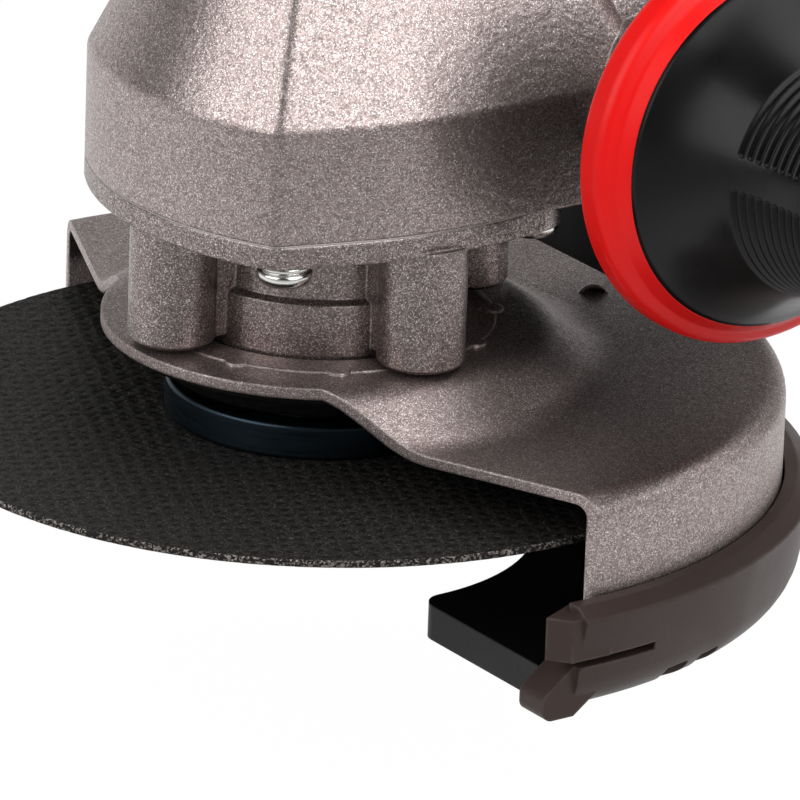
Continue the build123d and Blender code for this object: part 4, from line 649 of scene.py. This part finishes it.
# The thread's roots are painted darker as shade in the grooves
root_shade = sums(tree, "MULTIPLY", cut, ramp(tree, helix, 0.5, 0.0, 0.0, 0.8))
tone = between(tree, root_shade, spindle_bright, spindle_root_shade)
rough = ramp(tree, use(tree, marks, {"Vector": here})["Height"], 0.2, 0.8, 0.24, 0.38)
relief = bumped(tree, sums(tree, "MULTIPLY", helix, cut), 0.5 * spindle_pitch, soft)
feed(tree, shader, {"Base Color": tone, "Roughness": rough, "Normal": relief})
print("thread of", spindle_pitch, "m pitch in", spindle_steel.name)

# %% [markdown]
# ## Stacks of sheets and turns of wire
#
# The motor's cores are stacks of thin sheet and its coils are turns of wire. Hundreds of edges that
# sit deep inside need no mesh of their own, so a wave along the stack gives their lines.


# %% Stacked finishes
def stacked(name, colour, roughness, direction, pitch, depth):
    """A metal with fine lines across a direction."""
    material, tree, shader, here, soft = finish(name, colour, roughness, 0.9)
    along = vectors(tree, "DOT_PRODUCT", here, direction)
    line = sums(tree, "SINE", sums(tree, "MULTIPLY", along, 2 * math.pi / pitch))
    skin = use(tree, grain, {"Vector": here, "Per Metre": 800.0})
    # The wave's troughs are painted darker, partly as the joints between sheets and turns and partly as
    # painted shade in their gaps
    tone = between(tree, ramp(tree, line, -1.0, 0.2, 0.8, 0.0), colour, shaded(colour, 0.55))
    rough = ramp(tree, skin["Mottle"], 0.0, 1.0, roughness - 0.05, roughness + 0.1)
    relief = bumped(tree, line, depth, soft)
    feed(tree, shader, {"Base Color": tone, "Roughness": rough, "Normal": relief})
    return material


wire_lay = (0.2, 0.7, 0.7)
sheet_stack = stacked("sheet stack", (0.3, 0.3, 0.31, 1), 0.45, (1, 0, 0), 0.5 * MM, 0.05 * MM)
copper_turns = stacked("copper turns", (0.72, 0.32, 0.13, 1), 0.3, wire_lay, 0.7 * MM, 0.15 * MM)
print(len(bpy.data.materials), "materials so far")

# %% [markdown]
# ## Giving the solids their finishes
#
# A solid whose shape is right keeps its mesh, and only its material changes. The table reads like the
# parts list of the tool. The solids that are left over are replaced by pieces of our own below.

# %% Finishes by solid
wear = {
    cast_paint: ["gear_housing"],
    cover_paint: ["bearing_cover", "guard_ring"],
    guard_paint: ["guard_shell"],
    hub_tin: ["disc_hub_ring"],
    blued: ["inner_flange", "clamp_nut"],
    turned_steel: ["motor_shaft", "pinion_nut", "needle_bush", "slider_rod"],
    spindle_steel: ["spindle"],
    gear_steel: ["crown_gear", "pinion", "gear_clip", "bearing_retainer"],
    ground_steel: [name for name in solids if name.endswith("_race")],
    black_zinc: ["tail_bolts"],
    felt: ["felt_seal"],
    clip_plastic: ["cutting_cover"],
    collar_red: ["handle_collar"],
    switch_red: ["switch_slider"],
    pad_rubber: ["left_grip_pad", "right_grip_pad"],
    black_plastic: ["fan_baffle", "lock_button", "fan"],
    casing_plastic: ["left_shell", "right_shell"],
    battery_plastic: ["battery_case", "battery_cover", "battery_latch"],
    switch_plastic: ["power_switch", "terminal_block"],
    sheet_stack: ["rotor_core", "stator_core"],
    magnet_nickel: ["rotor_magnets"],
    copper_turns: ["stator_coils"],
    board_lacquer: ["control_board", "battery_board"],
    contact_plate: ["battery_contacts"],
    cell_wrap: ["battery_cells"],
}
for material, names in wear.items():
    for name in names:
        mesh = solids[name].data
        mesh.materials.clear()
        mesh.materials.append(material)
dressed = {name for names in wear.values() for name in names}
print("dressed", len(dressed), "left", sorted(set(solids) - dressed))

# %% [markdown]
# ## Pieces of our own
#
# A piece that the solid model leaves plain is made here as a mesh and takes the solid's place. `piece`
# links a mesh, gives it its finish and lets it ride on the body that carries it. Most of these pieces
# are turned, so one function joins rows of points, each row a ring round an axis.


# %% Making pieces
def piece(name, mesh, material, body, stands_for=None):
    """A finished mesh as part of the object."""
    mesh.materials.clear()
    mesh.materials.append(material)
    made = bpy.data.objects.new(name, mesh)
    bpy.context.collection.objects.link(made)
    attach(made, body)
    if stands_for:
        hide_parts(stands_for)
    print(name, len(mesh.polygons), "faces on", body)
    return made


def mesh_from(body, name, smooth):
    """A mesh from what was built, with its faces pointing outwards."""
    bmesh.ops.recalc_face_normals(body, faces=body.faces)
    mesh = bpy.data.meshes.new(name)
    body.to_mesh(mesh)
    body.free()
    for face in mesh.polygons:
        face.use_smooth = smooth
    return mesh


def turned_mesh(name, rows, ring_shaped=False, smooth=True):
    """Joins rows of one length, or of one point at a pole. A ring shape closes on itself."""
    body = bmesh.new()
    made = [[body.verts.new(p) for p in row] for row in rows]
    for low, high in zip(made, made[1:] + made[:1] if ring_shaped else made[1:]):
        count = max(len(low), len(high))
        for i in range(count):
            j = (i + 1) % count
            corners = [low[i % len(low)], low[j % len(low)], high[j % len(high)], high[i % len(high)]]
            body.faces.new(list(dict.fromkeys(corners)))
    return mesh_from(body, name, smooth)


def turns(count):
    """Evenly spaced angles of a full turn."""
    return [2 * math.pi * i / count for i in range(count)]


print("piece makers ready")

# %% [markdown]
# ## A band that closes the flare
#
# Behind the grip the casing widens to the battery's dock. The bay inside the dock comes so near the
# skin that the solid is open there in two narrow slits, and the real wall is closed. A band with the
# same rounded sections lies a hair under the skin and closes them. The change from one section to the
# next eases in and out, so a formula gives every section between.

# %% Flare band
# Millimetres. A section is its half width, half height, middle height and corner radius
flare_start, flare_end = 194.0, 216.0
grip_section, dock_section = (21.0, 23.0, 60.5, 16.0), (36.5, 38.0, 46.0, 12.0)
band_start, band_step, band_rows = 204.6, 0.3, 24
band_skin, band_wall = 0.12, 1.2
corner_points = 9


def casing_loop(x, inset):
    """The casing's rounded outline at a place along the flare, drawn in by an inset."""
    share = (x - flare_start) / (flare_end - flare_start)
    ease = share * share * (3 - 2 * share)
    half, half_h, middle, corner = (a + (b - a) * ease for a, b in zip(grip_section, dock_section))
    row = []
    for quarter, (side, upward) in enumerate(((1, 1), (-1, 1), (-1, -1), (1, -1))):
        for i in range(corner_points):
            angle = math.pi / 2 * (quarter + i / (corner_points - 1))
            y = side * (half - corner) + (corner - inset) * math.cos(angle)
            z = middle + upward * (half_h - corner) + (corner - inset) * math.sin(angle)
            row.append(Vector((x, y, z)) * MM)
    return row


stations = [band_start + band_step * i for i in range(band_rows)]
rows = [casing_loop(x, band_skin) for x in stations]
rows += [casing_loop(x, band_wall) for x in reversed(stations)]
piece("flare_band", turned_mesh("flare_band", rows, True), casing_plastic, "tool")

# %% [markdown]
# ## The ribbed rubber grip
#
# The grip is a turned form with two fields of grooves, parted by a plain web on either side. The solid
# has them as sharp notches; on the real grip they are channels with round floors and round ends.
# Cutting eighty channels with booleans leaves poor faces, so they are a rule instead: a point of the
# skin sinks by how deep it lies inside the nearest channel. Rays along the solid's web measure the skin.

# %% Skin of the grip
grip_solid = solids["handle_grip"]
socket = next(m for m in frame["record"]["mounts"] if m["name"] == "handle_socket_right")["pos_m"]
grip_base = Vector((socket[0], -socket[1], socket[2]))
grip_front = grip_base.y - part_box("handle_grip")[1].y
grip_end = grip_base.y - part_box("handle_grip")[0].y
web_w, web_lean = 4.4 * MM, math.radians(10.3)
web_side = Vector((-math.cos(web_lean), 0, math.sin(web_lean)))
skin_steps, clear_of_skin = 2000, 50 * MM


def on_handle(depth, radius=0.0, angle=0.0):
    """A point at a distance along the handle, off its axis at an angle."""
    return grip_base + Vector((radius * math.cos(angle), -depth, radius * math.sin(angle)))


def skin_radius(depth):
    """The radius of the solid's skin at a distance along the handle."""
    centre = on_handle(depth)
    found, spot, _, _ = grip_solid.ray_cast(centre + web_side * clear_of_skin, -web_side)
    return (spot - centre).length if found else 0.0


bpy.context.view_layer.update()
shares = [(i + 0.5) / skin_steps for i in range(skin_steps)]
depths = [grip_front + (grip_end - grip_front) * share for share in shares]
skin = [(depth, skin_radius(depth)) for depth in depths]
travel = [0.0]
for (d0, r0), (d1, r1) in zip(skin, skin[1:]):
    travel.append(travel[-1] + math.hypot(d1 - d0, r1 - r0))
print("skin of the grip:", round(travel[-1], 4), "m along its curve")

# %% Grip with ribs
core_r = 10.5 * MM
core_end = grip_base.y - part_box("handle_collar")[0].y
groove_start, groove_pitch, groove_count = 14.6 * MM, 1.45 * MM, 42
groove_half, groove_depth = 0.425 * MM, 0.7 * MM
fine_step, plain_step, smallest_r = groove_pitch / 9, 0.6 * MM, 0.1 * MM


def sunk(along, angle, radius):
    """How far the skin lies inside the nearest channel, at a distance travelled along it."""
    step = min(max(round((along - groove_start) / groove_pitch), 0), groove_count - 1)
    off = along - groove_start - step * groove_pitch
    from_web = math.asin(abs(math.sin(angle + web_lean))) * radius
    past_end = max(0.0, web_w / 2 + groove_half - from_web)
    inside = 1 - (off * off + past_end * past_end) / groove_half**2
    return groove_depth * math.sqrt(inside) if inside > 0 else 0.0


# Degrees from the web: close together where the channels end, wider apart beyond
near_web = [0, 2.5, 5] + [5.6 + 0.4 * i for i in range(14)]
far_off = [13.5 + 3.4 * i for i in range(23)]
degrees = [a - math.degrees(web_lean) for q in near_web + far_off for a in (q, 180 - q, 180 + q, 360 - q)]
angles = [math.radians(a) for a in sorted({round(a % 360, 3) for a in degrees})]


def grip_ring(depth, radius, along=None):
    """A row of points round the handle, sunk into the channels where they reach."""
    sinks = [0.0 if along is None else sunk(along, angle, radius) for angle in angles]
    return [on_handle(depth, radius - sink, angle) for sink, angle in zip(sinks, angles)]


rows = [[on_handle(core_end)], grip_ring(core_end, core_r), grip_ring(grip_front, core_r)]
field_start, field_end = groove_start - groove_pitch, groove_start + groove_count * groove_pitch
next_row = 0.0
for (depth, radius), along in zip(skin, travel):
    if along >= next_row and radius >= smallest_r:
        rows.append(grip_ring(depth, radius, along))
        next_row = along + (fine_step if field_start < along < field_end else plain_step)
rows.append([on_handle(grip_end)])
grip_mesh = turned_mesh("ribbed_grip", rows)
piece("ribbed_grip", grip_mesh, grip_rubber, "side_handle", "handle_grip")

# %% [markdown]
# ## Shapes from Geometry Nodes
#
# Copies and lines along a path are rules, and Geometry Nodes keep them as rules: a tree with named
# inputs, run on a few points. A modifier that stayed on would not survive the hand-over, so the result
# is taken as a plain mesh and the object that held the modifier goes.


# %% Running a tree
def shape_tree(name, inputs, output):
    """A new tree with a Finish input: the tree, what it is given, its output node and its input keys."""
    tree = bpy.data.node_groups.new(name, "GeometryNodeTree")
    keys = {}
    for title, kind in (inputs | {"Finish": "Material"}).items():
        made = tree.interface.new_socket(name=title, in_out="INPUT", socket_type="NodeSocket" + kind)
        keys[title] = made.identifier
    tree.interface.new_socket(name=output, in_out="OUTPUT", socket_type="NodeSocketGeometry")
    return tree, tree.nodes.new("NodeGroupInput").outputs, tree.nodes.new("NodeGroupOutput"), keys


def dressed_output(tree, given, out, title, geometry):
    """Ends a tree: instances become real, and the finish goes on."""
    real = put(tree, "GeometryNodeRealizeInstances", {"Geometry": geometry}).outputs[0]
    coat = put(tree, "GeometryNodeSetMaterial", {"Geometry": real, "Material": given["Finish"]})
    feed(tree, out, {title: coat.outputs[0]})


def run_tree(name, tree, keys, points, edges, values):
    """The tree's result on points and edges, as a plain mesh."""
    ground = bpy.data.meshes.new(name + " ground")
    ground.from_pydata(points, edges, [])
    holder = bpy.data.objects.new(name + " holder", ground)
    bpy.context.collection.objects.link(holder)
    nodes = holder.modifiers.new("nodes", "NODES")
    nodes.node_group = tree
    for title, value in values.items():
        nodes[keys[title]] = value
    bpy.context.view_layer.update()
    mesh = bpy.data.meshes.new_from_object(holder.evaluated_get(bpy.context.evaluated_depsgraph_get()))
    mesh.name = name
    bpy.data.objects.remove(holder)
    return mesh


print("trees can run")

# %% [markdown]
# ## The joint between the castings
#
# Housing and cover meet in a flat joint. Its machined edges are bare, so a thin pale line runs round
# the head. A texture would need the outline's own coordinates. A level cut through the cover gives the
# outline itself, and Geometry Nodes sweep a fine round section along it, just inside the wall.

# %% Outline of a level cut
joint_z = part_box("gear_housing")[0].z
cut_below, merge_within = 0.8 * MM, 0.001 * MM


def level_outline(name, height):
    """The outer line of a level cut through a solid, as points in order."""
    body = bmesh.new()
    body.from_mesh(solids[name].data)
    bmesh.ops.remove_doubles(body, verts=body.verts, dist=merge_within)
    whole = body.verts[:] + body.edges[:] + body.faces[:]
    cut = bmesh.ops.bisect_plane(body, geom=whole, plane_co=(0, 0, height), plane_no=up)["geom_cut"]
    beside = {}
    for edge in cut:
        if isinstance(edge, bmesh.types.BMEdge):
            a, b = edge.verts
            beside.setdefault(a, []).append(b)
            beside.setdefault(b, []).append(a)
    line = [min(beside, key=lambda v: v.co.x)]
    while len(line) < len(beside):
        onward = [v for v in beside[line[-1]] if v not in line[-2:] and v is not line[0]]
        if not onward:
            break
        line.append(onward[0])
    points = [v.co.copy() for v in line]
    body.free()
    return points


outline = level_outline("bearing_cover", joint_z - cut_below)
print("outline of", len(outline), "points")

# %% Line of bare metal round the head
line_r, under_wall = 0.17 * MM, 0.02 * MM
head_middle = Vector((10 * MM, 0, joint_z - cut_below))

sweeper, given, out, sweep_keys = shape_tree(
    "Line along an outline", {"Outline": "Geometry", "Radius": "Float"}, "Line"
)
path = put(sweeper, "GeometryNodeMeshToCurve", {"Mesh": given["Outline"]}).outputs[0]
section = put(sweeper, "GeometryNodeCurvePrimitiveCircle", {"Resolution": 8, "Radius": given["Radius"]})
swept = put(sweeper, "GeometryNodeCurveToMesh", {"Curve": path, "Profile Curve": section.outputs[0]})
dressed_output(sweeper, given, out, "Line", swept.outputs[0])

inset = []
for i, spot in enumerate(outline):
    before, after = outline[i - 1], outline[(i + 1) % len(outline)]
    inward = (after - before).cross(up).normalized()
    if inward.dot(head_middle - spot) < 0:
        inward = -inward
    inset.append(Vector((spot.x, spot.y, joint_z - line_r)) + inward * (line_r + under_wall))
links = [(i, (i + 1) % len(inset)) for i in range(len(inset))]
line_values = {"Radius": line_r, "Finish": bare_edge}
line_mesh = run_tree("joint_line", sweeper, sweep_keys, inset, links, line_values)
piece("joint_line", line_mesh, bare_edge, "tool")

# %% [markdown]
# ## Screws
#
# The cover is held by round-headed screws on washers, the casing by pan heads deep in their pockets.
# The solids are plain discs. One master of each kind is turned here with its washer and its six-lobed
# recess, and Geometry Nodes set a copy on every spot, each stopped at its own angle.

# %% Copies on spots
copier_inputs = {"Spots": "Geometry", "Master": "Object", "Axis": "Vector", "Seed": "Int"}
copier, given, out, copy_keys = shape_tree("Copies on spots", copier_inputs, "Copies")
master = put(copier, "GeometryNodeObjectInfo", {"Object": given["Master"]}).outputs["Geometry"]
stops = {"data_type": "FLOAT", 2: 0.0, 3: 2 * math.pi, "Seed": given["Seed"]}
spin = put(copier, "FunctionNodeRandomValue", stops).outputs[1]
stopped = vectors(copier, "SCALE", given["Axis"], spin)
on_spots = {"Points": given["Spots"], "Instance": master, "Rotation": stopped}
copies = put(copier, "GeometryNodeInstanceOnPoints", on_spots).outputs[0]
dressed_output(copier, given, out, "Copies", copies)


def copied(name, master_mesh, spots, axis, seed, material):
    """One plain mesh with a copy of the master on every spot."""
    pattern = bpy.data.objects.new(name + " master", master_mesh)
    bpy.context.collection.objects.link(pattern)
    values = {"Master": pattern, "Axis": axis, "Seed": seed, "Finish": material}
    mesh = run_tree(name, copier, copy_keys, spots, [], values)
    bpy.data.objects.remove(pattern)
    return mesh


print("copier takes", list(copy_keys))

# %% Masters of the screws
lobes, recess_point = 6, 0.4


def dome(foot_r, foot_z, crown_r, crown_z, steps=6):
    """A quarter of an oval, from the widest part of a head up to its crown."""
    reach, height = foot_r - crown_r, crown_z - foot_z
    angles = [math.pi / 2 * i / steps for i in range(steps + 1)]
    return [(crown_r + reach * math.cos(a), foot_z + height * math.sin(a)) for a in angles]


def screw_mesh(name, profile, recess_r, recess_depth, aim):
    """A turned screw, in millimetres, with a six-lobed recess. The profile runs from tip to crown."""
    around = turns(48)
    crown = profile[-1][1]

    def ring(radius, height, lobed=0.0):
        row = []
        for a in around:
            reach = radius * (1 + lobed * math.cos(lobes * a))
            row.append(aim @ Vector((reach * math.cos(a), reach * math.sin(a), height)) * MM)
        return row

    def pole(height):
        return [aim @ Vector((0, 0, height)) * MM]

    rows = [pole(profile[0][1])] + [ring(radius, height) for radius, height in profile]
    # Share of the recess's radius, depth and lobing: its mouth, its edge and its floor
    for share, depth, lobed in ((1.06, 0.0, 0.12), (1.0, 0.1, 0.13), (0.94, recess_depth, 0.13)):
        rows.append(ring(recess_r * share, crown - depth, lobed))
    rows.append(pole(crown - recess_depth - recess_point))
    return turned_mesh(name, rows)


# Radius and height: shank, washer, the gap above it, head
cover_profile = [(1.9, -13.4), (2.0, -13.2), (2.0, 0.0)]
cover_profile += [(3.45, 0.02), (3.55, 0.12), (3.55, 0.62), (3.42, 0.75)]
cover_profile += [(3.1, 0.82), (3.1, 0.95)]
cover_profile += [(3.55, 1.02), (3.72, 1.2)] + dome(3.76, 1.55, 2.0, 3.18)
down = Matrix.Rotation(math.pi, 3, "X")
cover_master = screw_mesh("cover screw", cover_profile, 1.5, 1.5, down)

# Radius and height: shank, head
shell_profile = [(1.2, -26.0), (1.7, -25.2), (1.7, 0.0)]
shell_profile += [(3.05, 0.02), (3.2, 0.2)] + dome(3.2, 0.9, 1.8, 2.2)
sideways = Matrix.Rotation(-math.pi / 2, 3, "X")
shell_master = screw_mesh("shell screw", shell_profile, 1.35, 1.3, sideways)
print("masters:", cover_master.name, shell_master.name)

# %% Cover screws and casing screws
cover_x, cover_y, cover_z = 20.2 * MM, 20.6 * MM, 43.4 * MM
cover_spots = [(sx * cover_x, sy * cover_y, cover_z) for sx in (-1, 1) for sy in (-1, 1)]
cover_copies = copied("round_screws", cover_master, cover_spots, (0, 0, 1), 3, bright_zinc)
piece("round_screws", cover_copies, bright_zinc, "tool", "cover_screws")

pocket_y = 15 * MM
shell_places = ((125.5, 80.5), (125.5, 41.5), (228, 78), (228, 14))
shell_spots = [(x * MM, pocket_y, z * MM) for x, z in shell_places]
shell_copies = copied("pan_screws", shell_master, shell_spots, (0, 1, 0), 5, black_zinc)
piece("pan_screws", shell_copies, black_zinc, "tool", "shell_screws")

# %% [markdown]
# ## Ribs of the battery
#
# Ribs on the battery's sides are there for the fingers that pull it off. A relief in the material would
# not catch the light at the outline. A rib is one bar with round ends, half sunk into the wall, and the
# node group that set the screws sets its copies in a row on each side.

# %% Battery ribs
rib_len, rib_w, rib_high = 17.0 * MM, 2.6 * MM, 0.7 * MM
rib_x, rib_y = 251.5 * MM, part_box("battery_case")[1].y
rib_low, rib_pitch, rib_count = 17.5 * MM, 6.0 * MM, 10


def bar_mesh(name, length, width, height):
    """A bar along X with round ends and an oval section."""
    straight = length / 2 - width / 2
    end_steps = 6
    ends = [straight + width / 2 * math.sin(math.pi / 2 * i / end_steps) for i in range(end_steps)]
    rows = [[Vector((-length / 2, 0, 0))]]
    for x in [-end for end in reversed(ends)] + ends:
        shrink = math.sqrt(1 - (max(0.0, abs(x) - straight) / (width / 2)) ** 2)
        tall, wide = height * shrink, width / 2 * shrink
        rows.append([Vector((x, tall * math.sin(a), wide * math.cos(a))) for a in turns(16)])
    rows.append([Vector((length / 2, 0, 0))])
    return turned_mesh(name, rows)


rib_heights = [rib_low + rib_pitch * i for i in range(rib_count)]
rib_spots = [(rib_x, side * rib_y, z) for side in (-1, 1) for z in rib_heights]
rib_master = bar_mesh("rib", rib_len, rib_w, rib_high)
rib_mesh = copied("battery_ribs", rib_master, rib_spots, (0, 0, 0), 1, battery_plastic)
piece("battery_ribs", rib_mesh, battery_plastic, "battery")

# %% [markdown]
# ## Diamonds on the grip pads
#
# The casing's rubber pads carry small diamonds for a firm hold. The pads curve round the grip, so a flat
# grid would leave their skin. Rays find the skin down the middle of each pad, and every row of diamonds
# stands square on it where it was found.

# %% Skin of the pads
ray_count, ray_top, ray_step = 200, 16.0, 0.5
casing_axis_z = grip_base.z


def pad_skin(name, side):
    """Points and normals down the middle of a pad, with the distance travelled to each."""
    low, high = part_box(name)
    centre = Vector(((low.x + high.x) / 2, 0, casing_axis_z))
    found, travelled = [], 0.0
    for i in range(ray_count):
        lean = math.radians(ray_top - ray_step * i)
        outward = Vector((0, side * math.cos(lean), math.sin(lean)))
        hit, spot, normal, _ = solids[name].ray_cast(centre + outward * clear_of_skin, -outward)
        if hit and normal.dot(outward) > 0.5:
            travelled += (spot - found[-1][0]).length if found else 0.0
            found.append((spot, normal, travelled))
    return found


pads = {name: pad_skin(name, side) for name, side in (("left_grip_pad", -1), ("right_grip_pad", 1))}
print("skin of the pads:", [round(line[-1][2], 4) for line in pads.values()], "m")

# %% Diamonds
diamond_long, diamond_wide = 1.7 * MM, 1.05 * MM
# Share of the size, and height over the skin, of a diamond's three outlines
diamond_outlines = ((1.0, -0.1 * MM), (1.0, 0.05 * MM), (0.4, 0.5 * MM))
row_margin, row_step = 1.6 * MM, 1.7 * MM
diamond_first, diamond_step, diamond_count = 2.4 * MM, 4.4 * MM, 9


def diamond(body, foot, normal):
    """A low, blunt diamond on a foot, square to the skin."""
    across_pad = normal.cross(Vector((1, 0, 0)))
    rings = []
    for scale, height in diamond_outlines:
        long_side, wide_side = Vector((diamond_long * scale, 0, 0)), across_pad * diamond_wide * scale
        around = (long_side, wide_side, -long_side, -wide_side)
        rings.append([body.verts.new(foot + normal * height + step) for step in around])
    for low, high in zip(rings, rings[1:]):
        for k in range(4):
            body.faces.new((low[k], low[k - 3], high[k - 3], high[k]))
    body.faces.new(rings[0])
    body.faces.new(rings[-1])


body = bmesh.new()
for name, line in pads.items():
    first_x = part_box(name)[0].x + diamond_first
    next_row, row = row_margin, 0
    for spot, normal, travelled in line:
        if next_row <= travelled <= line[-1][2] - row_margin:
            odd = row % 2
            for i in range(diamond_count - odd):
                foot_x = first_x + diamond_step * (i + odd / 2)
                diamond(body, Vector((foot_x, spot.y, spot.z)), normal)
            next_row, row = next_row + row_step, row + 1
piece("pad_studs", mesh_from(body, "pad_studs", False), pad_rubber, "tool")

# %% [markdown]
# ## The handle's threaded stud
#
# The side handle screws into the head with an M8 stud, which shows when the handle is off. The solid's
# end is a plain cylinder. A thread is a ridge that climbs by one pitch a turn, so the radius of every
# point follows from its place along the stud plus its share of the turn.

# %% Stud with a thread
stud_tip = grip_base.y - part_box("handle_stud")[1].y
stud_end = grip_base.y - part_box("handle_stud")[0].y
stud_core_r, shoulder = 6.0 * MM, 0.3 * MM
thread_r, thread_pitch, thread_depth = 3.35 * MM, 1.25 * MM, 0.5 * MM
tip_chamfer, thread_starts = 0.8 * MM, 0.6 * MM
thread_steps, steps_per_turn = 88, 8


def stud_ring(depth, radius, cut=0.0):
    """A row of points round the stud, with the thread cut to a share of its depth."""
    row = []
    for angle in turns(48):
        flank = abs((depth / thread_pitch + angle / (2 * math.pi)) % 1.0 - 0.5) * 2
        row.append(on_handle(depth, radius - thread_depth * cut * max(0.0, 1 - 1.25 * flank), angle))
    return row


rows = [[on_handle(stud_tip)], stud_ring(stud_tip, thread_r - tip_chamfer)]
for i in range(thread_steps + 1):
    depth = stud_tip + thread_starts + i * thread_pitch / steps_per_turn
    fade = min(1.0, (thread_steps - i) / steps_per_turn)
    rows.append(stud_ring(depth, thread_r, fade))
rows.append(stud_ring(shoulder, thread_r))
rows.append(stud_ring(shoulder, stud_core_r))
rows.append(stud_ring(stud_end, stud_core_r))
rows.append([on_handle(stud_end)])
stud_mesh = turned_mesh("threaded_stud", rows)
piece("threaded_stud", stud_mesh, turned_steel, "side_handle", "handle_stud")

# %% [markdown]
# ## The spring under the lock button
#
# The button that holds the spindle is pushed down against a coil. A solid can't shorten, so a copy of
# the coil with a mesh of its own stands for it.

# %% Coil with a mesh of its own
coil_mesh = solids["lock_spring"].data.copy()
coil = piece("lock_coil", coil_mesh, spring_wire, "tool", "lock_spring")
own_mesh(coil)

# %% [markdown]
# ## The cutting disc
#
# A thin disc is resin and grit pressed between two nets of glass thread. The net shows as a weave with
# small pits, a little over two millimetres apart, and the ground rim is a band of bare grit, pale
# grains in dark resin. A picture of a net could be laid over it. Two sine waves that cross give the
# same net at any size, and a slow noise bends the threads, which are never quite straight.

# %% Glass weave
thread_lay, thread_wander, lap_height = 0.42, 1.5 * MM, 0.25
weave, given, out = effect(
    "Glass weave", {"Vector": None, "Pitch": 2.2 * MM}, {"Height": "Float", "Pit": "Float"}
)
waver = put(weave, "ShaderNodeTexNoise", {"Vector": given["Vector"], "Scale": 160.0, "Detail": 2.0})
wander = vectors(weave, "SCALE", off_centre(weave, waver.outputs["Color"]), thread_wander)
bent = vectors(weave, "ADD", given["Vector"], wander)
turned = {"rotation_type": "Z_AXIS", "Vector": bent, "Angle": thread_lay}
lay = put(weave, "ShaderNodeVectorRotate", turned).outputs[0]
waves = []
for axis in ("X", "Y"):
    count = sums(weave, "DIVIDE", one_axis(weave, lay, axis), given["Pitch"])
    waves.append(sums(weave, "SINE", sums(weave, "MULTIPLY", count, math.pi)))
warp, weft = waves
threads = sums(weave, "MAXIMUM", sums(weave, "ABSOLUTE", warp), sums(weave, "ABSOLUTE", weft))
laps = sums(weave, "MULTIPLY", warp, weft)
height = sums(weave, "MULTIPLY_ADD", laps, lap_height, threads)
feed(weave, out, {"Height": height, "Pit": ramp(weave, threads, 0.75, 0.35)})
print("effect:", weave.name)

# %% Resin, net and grit
resin_dark, resin_light = (0.004, 0.0035, 0.0032, 1), (0.024, 0.021, 0.019, 1)
resin_glint, pit_shade = (0.14, 0.13, 0.118, 1), (0.002, 0.002, 0.002, 1)
grit_dark, grit_pale = (0.01, 0.0085, 0.008, 1), (0.3, 0.27, 0.25, 1)
grit_per_metre = 3600.0
rim_start, rim_full = 57.0 * MM, 57.3 * MM
abrasive, tree, shader, here, soft = finish(
    "woven abrasive", (0.02, 0.018, 0.017, 1), 0.62, 0.0, 0.1 * MM, {"Specular IOR Level": 0.2}
)
net = use(tree, weave, {"Vector": here})
speck = use(tree, flakes, {"Vector": here, "Normal": soft, "Per Metre": grit_per_metre, "Tilt": 0.6})
tone = between(tree, speck["Shade"], resin_dark, resin_light)
tone = between(tree, part_of(tree, speck["Glint"], 0.5), tone, resin_glint)
# The weave's pits are painted near black as shade in the recesses
tone = between(tree, part_of(tree, net["Pit"], 0.85), tone, pit_shade)
grit = put(tree, "ShaderNodeTexVoronoi", {"Vector": here, "Scale": grit_per_metre}).outputs["Color"]
luck = put(tree, "ShaderNodeSeparateColor", {"Color": grit}).outputs[0]
grains = between(tree, ramp(tree, luck, 0.5, 1.0), grit_dark, grit_pale)
rim = ramp(tree, from_spindle(tree, here), rim_start, rim_full)
relief = bumped(tree, net["Height"], 0.3 * MM, speck["Normal"])
feed(tree, shader, {"Base Color": between(tree, rim, tone, grains), "Normal": relief})
print("finish:", abrasive.name)

# %% [markdown]
# The rim of a real disc is never quite true, and its edge wanders by a tenth. Noise along the rim takes
# a little off the radius, and never adds to it, so the disc keeps its size.

# %% Disc with a rough rim
disc_low, disc_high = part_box("cutting_disc")
disc_r, bore_r = disc_high.x, 11.2 * MM
rim_band, bevel_in, bevel_down = 2.0 * MM, 0.25 * MM, 0.2 * MM
ragged_within, ragged_depth = 1.0 * MM, 0.16 * MM
ragged_scale, ragged_height_scale = 55, 40


def disc_ring(radius, z):
    """A row of points round the disc, ragged where it is the rim."""
    row = []
    for angle in turns(540):
        round_point = Vector((math.cos(angle), math.sin(angle), 0))
        reach = radius
        if radius > disc_r - ragged_within:
            spot = (round_point + up * ragged_height_scale * z) * ragged_scale
            reach += ragged_depth * min(0.0, noise.noise(spot))
        row.append(round_point * reach + up * z)
    return row


rows = [
    disc_ring(bore_r, disc_low.z),
    disc_ring(bore_r, disc_high.z),
    disc_ring(disc_r - rim_band, disc_high.z),
    disc_ring(disc_r - bevel_in, disc_high.z),
    disc_ring(disc_r, disc_high.z - bevel_down),
    disc_ring(disc_r, disc_low.z + bevel_down),
    disc_ring(disc_r - bevel_in, disc_low.z),
    disc_ring(disc_r - rim_band, disc_low.z),
]
disc_mesh = turned_mesh("woven_disc", rows, True, False)
piece("woven_disc", disc_mesh, abrasive, "spindle_set", "cutting_disc")
